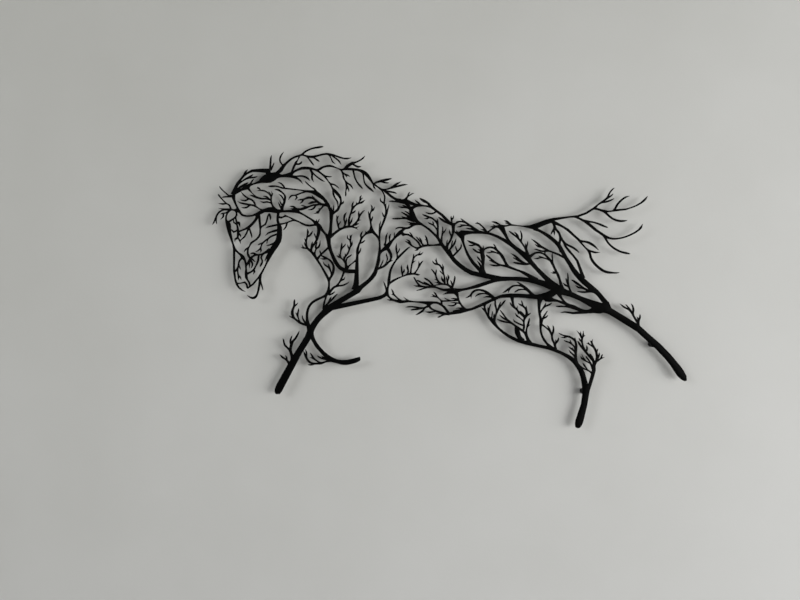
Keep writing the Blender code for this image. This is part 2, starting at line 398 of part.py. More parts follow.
def withers():
    """The knot on the withers and the locks that fan out from it."""
    return [
        [(396.5, 201.4, 2.8), (400, 201.5, 3.8), (404, 201.5, 4.5), (407, 201.6, 4.2), (410, 202.4, 3.4),
         (412.5, 203.3, 3), (415.5, 204.5, 2.1), (420.5, 205.4, 2), (424, 205.8, 1.9), (430.5, 206.8, 2)],
        [(421, 205.4), (418.5, 202.7), (416.5, 201.4), (414.8, 199.6)],
        [(405, 200, 3), (406.2, 198.4, 2.2), (407.3, 196.8, 1.6), (408.7, 193.3), (410.2, 191.8)],
        [(407.4, 196.6), (410, 195), (414.3, 193)],
        [(419.4, 197.8), (424, 201.3, 1.7), (427, 202.6, 1.7), (429, 204, 2), (430.5, 206.2, 2.2),
         (435, 209.7, 2), (440, 213.2, 2.2), (442.2, 215, 2.2), (444.7, 217.8, 2.2), (448.3, 221.7, 2.3),
         (452, 224.6, 2.6)],
        [(405.5, 202.5, 3), (408.3, 205, 2.2), (409.7, 207.5, 2.6), (410.7, 209, 4), (412, 211, 3),
         (413.3, 213.5, 2.2), (414.3, 216, 2.4), (415, 218.5, 3), (417, 221.5, 3), (418.7, 223.2, 3)],
        [(410.7, 208.8, 4), (413, 207.3, 2.6), (415.5, 206.2, 2), (420, 205.4, 1.9)],
        [(409.7, 208.3, 2.2), (406.5, 207.6, 1.8), (404, 207.2, 1.4), (401.5, 207.3), (397.8, 206.3)],
        [(406, 207.5), (404.3, 205.8), (401.9, 205.1)],
        [(415.5, 220.8, 2.8), (412, 219.6, 3.4), (409.5, 218.5, 3), (406.5, 218.3, 1.7),
         (403.5, 217.6, 1.6), (401.4, 216.2)],
        [(406.5, 218.4), (398, 218.6), (391.8, 218.6)],
        [(413.5, 219, 3), (410, 217.3, 2.5), (408, 216, 2), (405.5, 214.7, 1.5), (403.5, 213.2),
         (400.8, 211.9)],
        [(414, 217.4, 2), (411, 215.5, 1.5), (409.5, 213.8, 1.4), (407.5, 212.5), (404.3, 211.1)],
        [(413.5, 216.3), (411.5, 213.5), (408, 210.7)],
        [(417.5, 223.8, 2), (413, 223.8, 1.8), (411, 223.1), (409, 222.3), (406.2, 221.5)],
        [(414.2, 224.2), (411.5, 224.2), (408.5, 224.5)],
        [(418.5, 223.6, 2.4), (415, 224.3, 1.9), (412.5, 225.3, 1.9), (410.5, 226.8, 1.8), (408, 228, 1.8),
         (405.5, 228.3, 1.8), (403.5, 229.3, 1.9), (401.8, 231, 2.8), (400, 232.5, 3.4), (398, 234.2, 3),
         (396, 236.4, 2.1), (394, 238.5, 2), (392, 240.8, 2.1), (390, 243, 2.6), (388, 245.5, 4),
         (386.5, 247.3, 4.6)],
        [(405.5, 228.2), (403, 227.6), (400, 227.4), (397.5, 227.8), (395, 229.4)],
        [(394.3, 238, 1.5), (394.2, 235.5), (394.9, 232)],
        [(389.8, 243.3), (389.1, 239.7), (389.5, 236.5), (390.9, 233.7)],
        [(386, 246.8, 2), (384.8, 245, 1.8), (385.7, 241.9, 1.6), (385.9, 238.8), (386, 236.5),
         (387.7, 232.2)],
        [(401.8, 231.7, 1.8), (403.5, 233.6, 1.4), (406, 234.5, 1.4), (408.5, 234.7, 1.6),
         (411, 236.2, 1.7), (413.5, 238, 1.8), (416, 240, 1.6), (418.5, 242.5, 1.7), (420, 245, 1.8),
         (421, 247, 1.8)],
        [(405.5, 234.6), (403, 235.4), (400.8, 233.9)],
        [(413, 237.4), (411.3, 234.3), (409.1, 231.9)],
    ]


# Back, barrel and belly
def back():
    """The topline from the withers to the dock, and its tufts."""
    return [
        [(436.8, 211.2, 1.6), (435, 212.3, 1.4), (433, 213.3, 1.3), (430.5, 213.6, 1.3), (428, 213),
         (425.5, 212)],
        [(452, 224, 2.4), (447, 222.5, 1.5), (445, 221.8, 1.5), (443, 220.5, 1.4), (441, 218.7),
         (438.3, 216.9)],
        [(452, 224, 1.6), (451.5, 218.5), (451.1, 215.4)],
        [(452, 220.5), (453.3, 217.5), (453.8, 214.9)],
        [(452.5, 224.6, 3.4), (455, 223.9, 2), (457.5, 222, 1.8), (460.5, 221.3, 1.5), (463.5, 221.7, 1.5),
         (466.5, 222.7, 1.7), (469.5, 224.6, 1.8), (472, 226.6, 2.3), (474, 228.5, 2.3),
         (476.5, 230.4, 2.3), (479, 231.8, 2.3), (482, 232.5, 2.2), (486, 232.9, 2.2), (490.5, 233.7, 2.1),
         (495, 235.6, 2), (500, 238, 2.1), (504.5, 240.3, 2.6), (508, 242.3, 4), (512, 245.5, 3.7),
         (516, 248.3, 3.6), (520, 251.3, 3.8), (523.5, 254, 4.4), (527.5, 257.5, 5.2), (530.5, 261.5, 4),
         (534, 265.5, 3.4), (538, 269.5, 3.4), (542, 273.8, 3.6), (546, 278, 4), (550, 281.7, 4.6),
         (555, 286, 6), (559, 289.5, 7)],
        [(465.5, 221.8), (463, 220), (460.3, 218.5)],
        [(472, 226.3, 1.7), (470, 225.8, 1.6), (467, 225.4, 1.4), (463, 225.4), (460, 224.5)],
        [(463, 225.4), (460, 226.6), (456.5, 227)],
        [(477.5, 230.8, 2), (475, 229.8, 1.8), (472, 229, 1.5), (469, 228.6), (465.5, 228.2)],
        [(461.2, 233.7, 6.6), (466, 232.8, 3.2), (470, 232.9, 2.6), (475, 232.8, 2.4), (480, 232.6, 2.2),
         (484, 232.6, 2)],
        [(487.5, 232.8, 2), (485.5, 230, 1.6), (484, 228, 1.5), (481.5, 226, 1.4), (479.5, 223.8),
         (478, 223), (475, 223.3)],
        [(479.5, 223.9), (476.8, 221.9)],
        [(486, 230.7), (484, 229.8), (480.5, 229.2)],
        [(487.5, 232.8, 2), (489, 230.9, 1.5), (491.5, 229.3, 1.4), (493.5, 228, 1.4), (495.8, 226.6, 1.7)],
        [(495, 226.4, 1.7), (498.5, 226.5, 2.6), (501.5, 226.8, 4.4), (504, 225.8, 2.2), (507, 225.6, 1.5),
         (510, 224.8, 1.6), (516, 225.4, 1.6), (520, 225.6, 1.6), (525, 226, 1.8), (529, 226.6, 2.2),
         (531.5, 226.8, 3.6), (534, 226.7, 5.4), (538, 224.9, 4.8), (542, 223.4, 4.7), (546, 222, 4.3),
         (550, 220.8, 3.9), (552.5, 220.3, 3.6)],
        [(500.6, 225.6, 1.6), (499.3, 224, 1.5), (497, 222.8, 1.4), (494.5, 222.2), (491.5, 221.6)],
        [(495.5, 226.2), (494.2, 225.2), (492.9, 224.2)],
        [(495.2, 226.6), (493.5, 226.5), (490, 227)],
        [(501.5, 227, 5.4), (502.5, 229.5, 4.6), (504, 232, 3.8), (505.5, 234.8, 2.6), (507, 237.5, 2),
         (508.5, 240.5, 2.2), (510, 243, 3)],
        [(511.5, 224.8, 1.5), (508.5, 222.2), (506.5, 220.9), (504, 220.5)],
        [(510, 223.6), (505, 222.5)],
    ]


def barrel_twigs():
    """The twigs under the withers, along the ribs."""
    return [
        [(438, 237.6, 2), (437.5, 233.5, 2), (438, 230, 1.8), (437.6, 224.5, 1.6), (436, 221.3, 1.7),
         (434, 219.3, 1.7), (432, 218.2, 1.7), (429.5, 217.4, 1.5), (427, 216.5), (425, 215.5),
         (422, 213.7)],
        [(429.3, 217.6), (427, 218.5), (423.8, 218.4)],
        [(437.7, 224.5), (437.5, 221), (437.2, 218.4)],
        [(437.9, 231, 1.7), (435, 227.2, 1.6), (433.7, 225.2, 1.5), (432, 224), (430, 223.3),
         (427.7, 221.9)],
        [(433.7, 225.2), (433.3, 223), (432.3, 221)],
        [(415, 247.6, 1.4), (413.5, 246.6, 1.6), (411.5, 245.3, 1.6), (409.8, 243.5, 1.6), (407.5, 242.2),
         (404.7, 241.1)],
        [(410.7, 244.2), (409, 240.8), (405.9, 239.2)],
        [(414.5, 246.8, 1.5), (417, 248.2, 1.9), (420, 247.5, 2), (423, 246, 2), (426, 245.4, 2),
         (430, 245.4, 1.7), (434, 245.3, 1.6), (437, 244.8, 1.7), (441, 244.4, 2.4)],
        [(418.8, 248), (417, 249.9), (414.5, 250.4)],
        [(424, 245.7, 1.5), (422, 243.8, 1.5), (420.5, 241.5, 1.4), (418.5, 239.3), (415.5, 236.5)],
        [(422.2, 243.8), (421, 240), (418.7, 237.1)],
        [(428, 245.4, 1.5), (427.7, 243, 1.5), (427.3, 240.3, 1.4), (426.3, 237.7), (424.7, 235)],
        [(427.4, 241.7), (424.7, 238.9)],
        [(418.3, 223, 3), (421.5, 224, 2.1), (425, 226.5, 2), (429, 229.3, 2), (432.5, 232.3, 2),
         (435.5, 235.3, 2), (438, 238, 2.3), (440, 241, 2.7), (441.8, 244, 3), (444, 247, 3),
         (446.5, 250, 3.1), (449, 253.5, 3.1), (451.5, 257, 3.6), (454.5, 260.5, 3.6), (458.5, 264.3, 3.6),
         (463, 267.8, 3.8), (467.5, 270.7, 3.8), (472, 273, 3.8), (477, 274, 3.4), (483, 274.8, 4.2),
         (489, 276.4, 4.6), (495, 277.8, 4.2), (501, 278.7, 4)],
        [(441.5, 243, 2), (441.5, 240.5, 2), (441.9, 237, 1.8), (442.6, 233.5, 1.6), (442.9, 230),
         (442.1, 226)],
        [(442.7, 233.4), (444.7, 231.3), (446.6, 227.8)],
        [(453.2, 224.5, 3.3), (453.6, 230, 2.8), (453, 233, 1.9), (451.8, 237, 1.8), (450.5, 240.5, 1.8),
         (449, 243.3, 1.8), (447.3, 245.8, 2.1), (446.7, 249.5, 3)],
        [(451.5, 237), (450.6, 234.5), (449.6, 232), (449.1, 228.8)],
        [(447.5, 245.5), (446.8, 243), (447.7, 239.3)],
        [(449.8, 252.5, 2), (449.7, 249.5, 1.8), (450.5, 248, 1.6), (452.5, 246.3, 1.6), (454.3, 244, 1.5),
         (455.5, 241), (456.2, 237.9)],
        [(451.2, 247.3), (452, 243), (453.2, 239.9)],
        [(450.2, 251, 2), (451.8, 257, 3)],
        [(452.2, 257, 1.7), (453.8, 255, 1.6), (455.5, 253.2, 1.7), (458, 251.2, 1.6), (460.2, 248.7),
         (461.5, 245.5)],
        [(461.2, 247), (461, 242)],
        [(457.5, 251.7), (456.3, 249), (455.6, 245.4)],
        [(453.8, 231), (456.6, 233, 2), (459.3, 234.4, 4), (461.5, 233.5, 5)],
        [(458.5, 233.5, 1.6), (455.9, 229.8)],
        [(461.6, 234, 6.4), (462.4, 238, 3.4), (463, 241.5, 2.2), (464, 245.5, 2.1), (465.5, 249.5, 2.1),
         (467.5, 253.5, 2.4), (470, 258, 2.5), (473, 262.5, 2.7), (476.5, 266.5, 3), (480, 270, 3.4),
         (483.5, 273, 4)],
    ]


def ribs():
    """The knots and arcs over the flank, between the ribs and the hip."""
    return [
        [(482.4, 252, 4), (481.8, 249.8, 2.4), (480.5, 247.3, 2), (478.5, 245.3, 2.2), (476, 244.2, 2),
         (472.5, 243, 1.5), (469.5, 241.8), (466.8, 239.8)],
        [(476, 244.6, 1.5), (472, 245.4), (468.3, 245.1)],
        [(481.5, 252.8, 1.8), (478, 252.2, 1.5), (475.5, 250.5), (472.4, 248.3)],
        [(481.7, 251), (480, 250), (477.5, 249)],
        [(483, 250.3), (483.3, 248), (483.5, 245.3)],
        [(482.4, 251.5, 4), (482.8, 257, 4), (483.4, 261.5, 2.8), (483, 265.5, 2.4), (482.9, 269.5, 3),
         (483.8, 274, 5)],
        [(483.1, 264.3, 1.5), (479.3, 259.3), (476.9, 256.2)],
        [(482.6, 269.7, 2), (481, 266.5, 1.8), (479.5, 263.5, 1.5), (476.8, 260.4)],
        [(482.5, 251, 3), (484.5, 249.1, 1.8), (487.5, 247.7, 1.7), (491, 247.2, 1.7), (494.5, 248.2, 1.8),
         (497, 250, 1.8), (499.5, 252.3, 2.2), (501.5, 255.2, 2.7), (503.3, 258, 2.2), (505, 261.5, 2.1),
         (506.5, 264.2, 2.2), (508.5, 266.8, 2.4)],
        [(497, 249.7), (495.2, 246.3), (493.3, 243.9)],
        [(501, 254.2, 1.6), (496.5, 253.2, 1.5), (493.5, 252), (490.2, 250.5)],
        [(493.6, 252.2), (490, 252.4), (486.4, 252.6)],
        [(500, 264.9, 1.7), (497, 263.2, 1.6), (494, 261.3, 1.5), (491.5, 259.3, 1.4), (489, 257),
         (485.8, 254.6)],
        [(495.5, 262.9), (492.5, 261.7), (488.9, 259.6)],
        [(489.4, 264.3), (493.5, 265.2, 1.3), (497.5, 265.6, 1.6), (501, 265, 1.8), (504, 265.6, 1.9),
         (508, 266.7, 2.4), (512, 268, 2.2), (516, 269.5, 2.1), (520, 270.8, 2.1), (524, 272.7, 2.3),
         (528, 275, 2.5), (532, 277.5, 3), (537, 280.3, 4)],
        [(531, 263.3, 2), (529, 264, 1.7), (526, 263.7, 1.8), (522.5, 262.2, 2), (519.5, 260.3, 1.9),
         (517, 257.8, 1.6), (514.5, 255.3), (510.5, 252.9)],
        [(520.5, 261), (518, 260.3), (512.9, 257.1)],
        [(527, 264.2, 1.7), (520, 263.8, 1.5), (516.5, 263), (513, 262.1)],
        [(501, 278.8, 4.2), (505, 278.8, 3.9), (512, 278.8, 3.4), (520, 278.9, 3.6), (528, 279.8, 4.2),
         (535, 281, 4.7), (542, 282.8, 5.2), (549, 285.5, 5.8), (555, 288, 7), (560, 290.3, 7.2)],
        [(527.9, 257, 5), (527.2, 252.5, 2.5), (526.3, 249.5, 2.1), (524, 246.5, 1.9), (522.3, 244, 1.8),
         (521, 241.2, 1.8), (519.5, 239.5, 1.8), (517.7, 237.5, 1.6), (515.5, 236, 1.4), (512.5, 233.8),
         (509, 230.7)],
        [(518.6, 238.3), (518.3, 236.5), (516.5, 234), (514, 231.8)],
        [(521.2, 241.3, 1.5), (521.9, 237, 1.4), (521.4, 233.5), (520.1, 230.2)],
        [(526.4, 249.5, 1.6), (527, 245, 1.3), (527.8, 241)],
        [(526.2, 248.3), (526, 246), (525.1, 242.9)],
    ]


def belly():
    """The line under the belly, with the knots behind the elbow and before the flank."""
    return [
        [(389.5, 252, 2.4), (390.7, 254, 2.4), (391.2, 257, 2), (390.5, 259.6, 1.7), (389, 261.8, 1.7),
         (386.5, 264.2, 1.8), (384, 266, 1.8), (381.5, 267.5, 1.8), (379, 268.4, 2), (376.5, 269, 2.4)],
        [(386.5, 247.5, 4.6), (388.2, 249.3, 2.8), (389.7, 252.3, 2.4)],
        [(386.5, 247.5, 4.6), (384, 249.3, 2.8), (381.5, 251.4, 2.4), (379.6, 253.2, 2.4)],
        [(384.8, 265.6), (386, 262), (387.5, 259), (386.7, 256.5), (386.4, 252.9)],
        [(380, 268), (380.5, 265.5), (382, 263), (383.2, 259.4)],
        [(389.5, 261.4), (391.6, 260.6), (393.4, 260.3)],
        [(410.5, 246.6), (407, 249, 1.5), (404, 251.5, 1.5), (401, 254.2, 1.6), (398.3, 257, 1.8),
         (396, 259.8, 1.9), (394.3, 262.5, 2), (392.7, 265.5, 2), (391.2, 268.5, 1.9), (390, 272, 2.1),
         (389.4, 276, 2.3), (389, 280, 2.5), (388.3, 284, 2.3), (388, 288, 2.1), (387.2, 291.5, 3.2),
         (386.7, 293.5, 3.4), (384.5, 295.5, 3.2), (380, 297.6, 3.2), (374, 299.1, 3.3), (368, 300.2, 3.3),
         (362, 301.5, 3.3), (356, 302.8, 3.4), (350, 304.2, 3.4), (344, 305.4, 3.6), (338, 306.6, 4.2),
         (332, 307.5, 5)],
        [(397.5, 258, 1.6), (396.9, 254, 1.6), (396.3, 250.5, 1.5), (396, 247), (396.6, 242.3)],
        [(397, 254.3), (398.6, 251.5), (399.7, 247.9)],
        [(389.2, 284.2, 2), (391, 282.3, 2), (393.5, 280.5, 2), (397, 278.8, 1.9),
         (400.5, 277.6, 1.8), (403.5, 276.3, 1.7), (406, 274.8, 1.8), (408.5, 274, 2), (412, 274, 2),
         (415, 273.8, 1.7), (418, 274.8), (420.2, 274.4)],
        [(402.8, 276.6, 1.6), (402.3, 273, 1.6), (401.7, 270), (401.3, 267), (401.6, 264.4)],
        [(402.4, 273.3), (404, 271.5), (404.1, 268.4)],
        [(407, 274.4, 1.6), (408.2, 271.5, 1.6), (407.8, 269, 1.5), (407.2, 267), (407.8, 263.9)],
        [(410.5, 274, 1.7), (411, 271, 1.4), (411.3, 268, 1.3), (411.7, 265, 1.3), (412.8, 262, 1.4),
         (413.3, 259, 1.5), (414.7, 257, 1.4), (416.3, 255.3, 1.3), (418.5, 254.5), (421, 254.3),
         (423.5, 252)],
        [(413.4, 259), (413.5, 256.5), (414.1, 253.4)],
        [(418.3, 254.6), (419.3, 252.8), (420.8, 250.5)],
        [(412.5, 262.8), (416, 260.5)],
        [(413.5, 274, 1.7), (416, 271.8, 1.7), (417.8, 269, 1.6), (418.8, 266.3, 1.5), (419, 263.5),
         (418.6, 260.4)],
        [(418.9, 266), (420.8, 263), (423.5, 260.6)],
        [(386.3, 291, 1.8), (385.8, 287.5, 1.6), (384.5, 284.3), (383, 281.1)],
        [(386.8, 293.5, 3.2), (388.7, 296.5, 1.9), (391, 298.7, 1.9), (393.5, 300, 1.9), (397, 300.9, 2.1),
         (400, 301.8, 2.6), (404, 301.4, 2.1), (408, 301.2, 2), (414, 302, 1.8), (420, 302.5, 1.9),
         (426, 302.9, 2.5), (429, 304, 4), (432, 302.7, 2.4), (437, 302.7, 2.1), (441, 304.5, 2.1),
         (444.5, 307.4, 2.1), (447, 310.8, 2.1), (449, 313.6, 2.3), (455, 312.7, 3.2), (460, 311.4, 3.8),
         (464, 310.2, 3.2), (468, 309.7, 2.2), (472, 309, 2.1), (476, 307.3, 2.1), (480, 305.6, 2.3),
         (485, 303.6, 2.5), (490, 301.2, 2.9), (494, 299.2, 3), (498, 297.3, 2.7), (503, 296, 3),
         (509, 295.7, 3), (515, 295.5, 3.2), (522, 295.7, 3.5), (529, 296.1, 3.7), (535, 296.6, 3.8),
         (541, 297, 5.4), (546, 296, 7.4), (549.5, 294.8, 7), (554, 292, 5.4)],
        [(393.5, 300.2), (390, 300.2), (387, 299.3)],
        [(402, 301.5, 1.9), (399, 299.3, 1.8), (396, 296.8, 1.8), (393.5, 294.2, 1.7), (392.8, 291.3),
         (391, 288.4)],
        [(394, 294.8), (391, 294.3)],
        [(408.5, 301, 1.8), (406, 299), (403, 296.5)],
        [(429, 305.5, 2.8), (427, 307, 1.9), (424, 308, 1.7), (420.5, 308.1, 1.7), (417, 307.7, 1.5),
         (412, 306.7), (408, 306.8), (404.9, 307.4)],
        [(420.5, 308.2), (416, 309.3), (410.3, 310)],
        [(425, 307.8, 1.5), (423, 310.7, 1.5), (420, 312.8, 1.4), (417.5, 313.8), (415.2, 315)],
        [(429, 305.5, 2.4), (430.5, 308, 1.9), (433.5, 309.8, 1.7), (436.5, 311.2, 1.8), (440, 311.7, 1.7),
         (443, 312.8, 1.7), (446, 313.9, 2), (449.5, 314.2, 2.2)],
        [(435.8, 311.1), (432.5, 312.2), (429, 312.5), (424.9, 311.7)],
        [(443.5, 313.8), (441, 313.9), (438.5, 313.3), (435.4, 313.3)],
        [(446.5, 314.3), (443, 315), (440, 316.4), (437.4, 317.7)],
    ]


def flank():
    """The knot low on the flank with its sprays of twigs."""
    return [
        [(489, 282.2, 3), (484, 284, 3.1), (478, 286, 3), (472, 287.3, 2.7), (467, 288.8, 2.1),
         (462, 289.8, 2.2), (458, 290.3, 3.4), (455, 291.3, 4.8), (452, 289.7, 3.2), (448, 289.9, 2.6),
         (443.5, 289.8, 2.1), (440, 288.3, 1.9), (436, 287.1, 2), (432, 286.9, 2), (428, 287.1, 1.9),
         (424, 286.6, 1.7), (420, 285.8, 1.7), (417.7, 283.7, 1.6), (416.3, 281.3), (415, 279),
         (413.4, 276.7)],
        [(501, 279.2, 4), (495, 280.3, 3.1), (488, 282.5, 3)],
        [(455, 291.5, 5), (457, 294, 3.2), (458.3, 297, 1.9), (458.5, 300, 1.8), (460.5, 304, 1.9),
         (463, 307, 2), (465.5, 309.7, 2.4)],
        [(453.5, 291.7, 4), (449, 292.2, 2.6), (446, 293.3, 1.5), (442.4, 294.6)],
        [(427.5, 287.3, 1.9), (424, 288.5, 1.6), (420.5, 289.6), (415.9, 290.4)],
        [(419.5, 286), (416, 286), (413.2, 285.4)],
        [(431.5, 286.6, 1.7), (429.5, 285, 1.8), (426.5, 283.8, 1.8), (423, 283.2, 1.6),
         (420.5, 281.8, 1.4), (417.5, 280.5), (416, 280.4)],
        [(435, 287, 1.8), (433, 285.5, 1.8), (431.5, 283.5, 1.7), (429.5, 281.3, 1.6), (427, 279.7),
         (423.8, 277.6)],
        [(426, 283.6), (423.5, 281.4)],
        [(452.2, 289, 2.2), (450.3, 286, 2), (448, 284.8, 2), (445.5, 284.5, 1.9), (442.5, 284.3, 2),
         (440, 283.2, 2), (438.3, 281.5, 1.7), (437, 279, 1.6), (436, 276.5, 1.5), (435.5, 274.3, 1.6),
         (434, 272.3, 1.5), (430.9, 268.8)],
        [(435.6, 274.5), (436.3, 272), (436, 269.1)],
        [(437.2, 280.2), (434, 279)],
        [(439, 283), (434.5, 282.4)],
        [(441, 284.3), (437, 284.9), (433.5, 285.5)],
        [(445.2, 284.8, 1.7), (444.3, 281, 1.7), (444.6, 277.5, 1.5), (444, 274, 1.5), (443.2, 271.5, 1.7),
         (442.2, 269, 1.7), (441, 266.8, 1.7), (439.3, 264.8, 1.6), (437, 263.8, 1.6), (435, 263.7),
         (433.5, 262.3), (432.4, 260.4)],
        [(437.5, 264), (436.5, 261.5), (434.7, 259.3)],
        [(436.6, 261.8), (436.3, 257.5)],
        [(443, 271), (443.3, 267), (442.1, 263.5)],
        [(444.2, 281.5), (441.8, 278.8), (441.5, 275.9)],
        [(444, 275), (441.7, 273), (439.7, 270)],
        [(448, 285, 1.7), (447.5, 281.5, 1.6), (446.9, 279), (446.6, 275.9)],
        [(447.5, 282), (448.6, 279.5, 1.3), (448.8, 277), (447.5, 274)],
        [(452.2, 289, 1.8), (452.5, 286, 1.6), (453.8, 283.5, 1.6), (454.5, 280.5, 1.5), (454.9, 277.5),
         (454.6, 275.5)],
        [(452.6, 286), (451.8, 283), (450.2, 280)],
        [(441.7, 305, 1.8), (441.5, 301, 1.8), (440, 299, 1.8), (437.5, 297, 1.6), (435.3, 296.6, 1.5),
         (429.8, 296.9)],
        [(437.3, 297), (435.5, 293.5), (433.2, 291.5)],
        [(436, 296.7), (434, 295.5), (431.5, 294.4)],
        [(458.6, 300.2, 1.7), (455, 300.4, 1.6), (450.5, 301, 1.6), (446, 300.9, 1.5), (441.8, 301, 1.6)],
        [(457.6, 299.1), (454, 298.7), (450.6, 298.7)],
        [(450.6, 300.8), (447.5, 299.4), (444.2, 297.5)],
        [(460, 303.3), (457, 303.1), (454, 302.6), (449.4, 302.8)],
        [(456.5, 303.4), (454, 305.4), (451, 305.5), (447.2, 305)],
        [(463.5, 308), (459, 308.3), (455.5, 308.6)],
        [(461, 310.7), (456, 310.6), (452.5, 310.9)],
        [(495, 299, 3), (492, 297, 2.5), (490, 294.5, 2.1), (487, 292.2, 2), (484, 290.9, 1.9),
         (480, 289.8, 1.8), (476, 290.2, 1.8), (473.3, 291.7, 1.9), (471.5, 294, 1.7), (470, 295.8, 1.5),
         (468, 297), (464.9, 298)],
        [(471.5, 294.3), (471.1, 299.3)],
        [(489.3, 294.2, 1.6), (486.5, 293.7, 1.5), (480, 293.8, 1.5), (478, 295), (475, 297)],
        [(490.9, 296.8, 1.8), (487, 296.6, 1.4), (483, 297.6)],
        [(534, 296, 3), (531.7, 294, 2.7), (529.5, 291.5, 2.3), (527, 289, 2.2), (523.5, 286.8, 2),
         (520.5, 285.6, 1.8), (516.5, 285.4, 1.6), (513, 286, 1.7), (510.5, 287.7, 1.7),
         (508.5, 289.7, 1.5), (506, 291), (502.4, 292.8)],
        [(524, 287), (521.5, 285), (519.5, 283.2), (516.5, 281.9)],
        [(510, 288.3), (508.2, 293.3)],
        [(528.5, 290.7, 1.7), (526, 289.5, 1.7), (522, 289.5, 1.5), (518.5, 289.8, 1.5), (516.5, 291.2),
         (514, 292.3)],
    ]


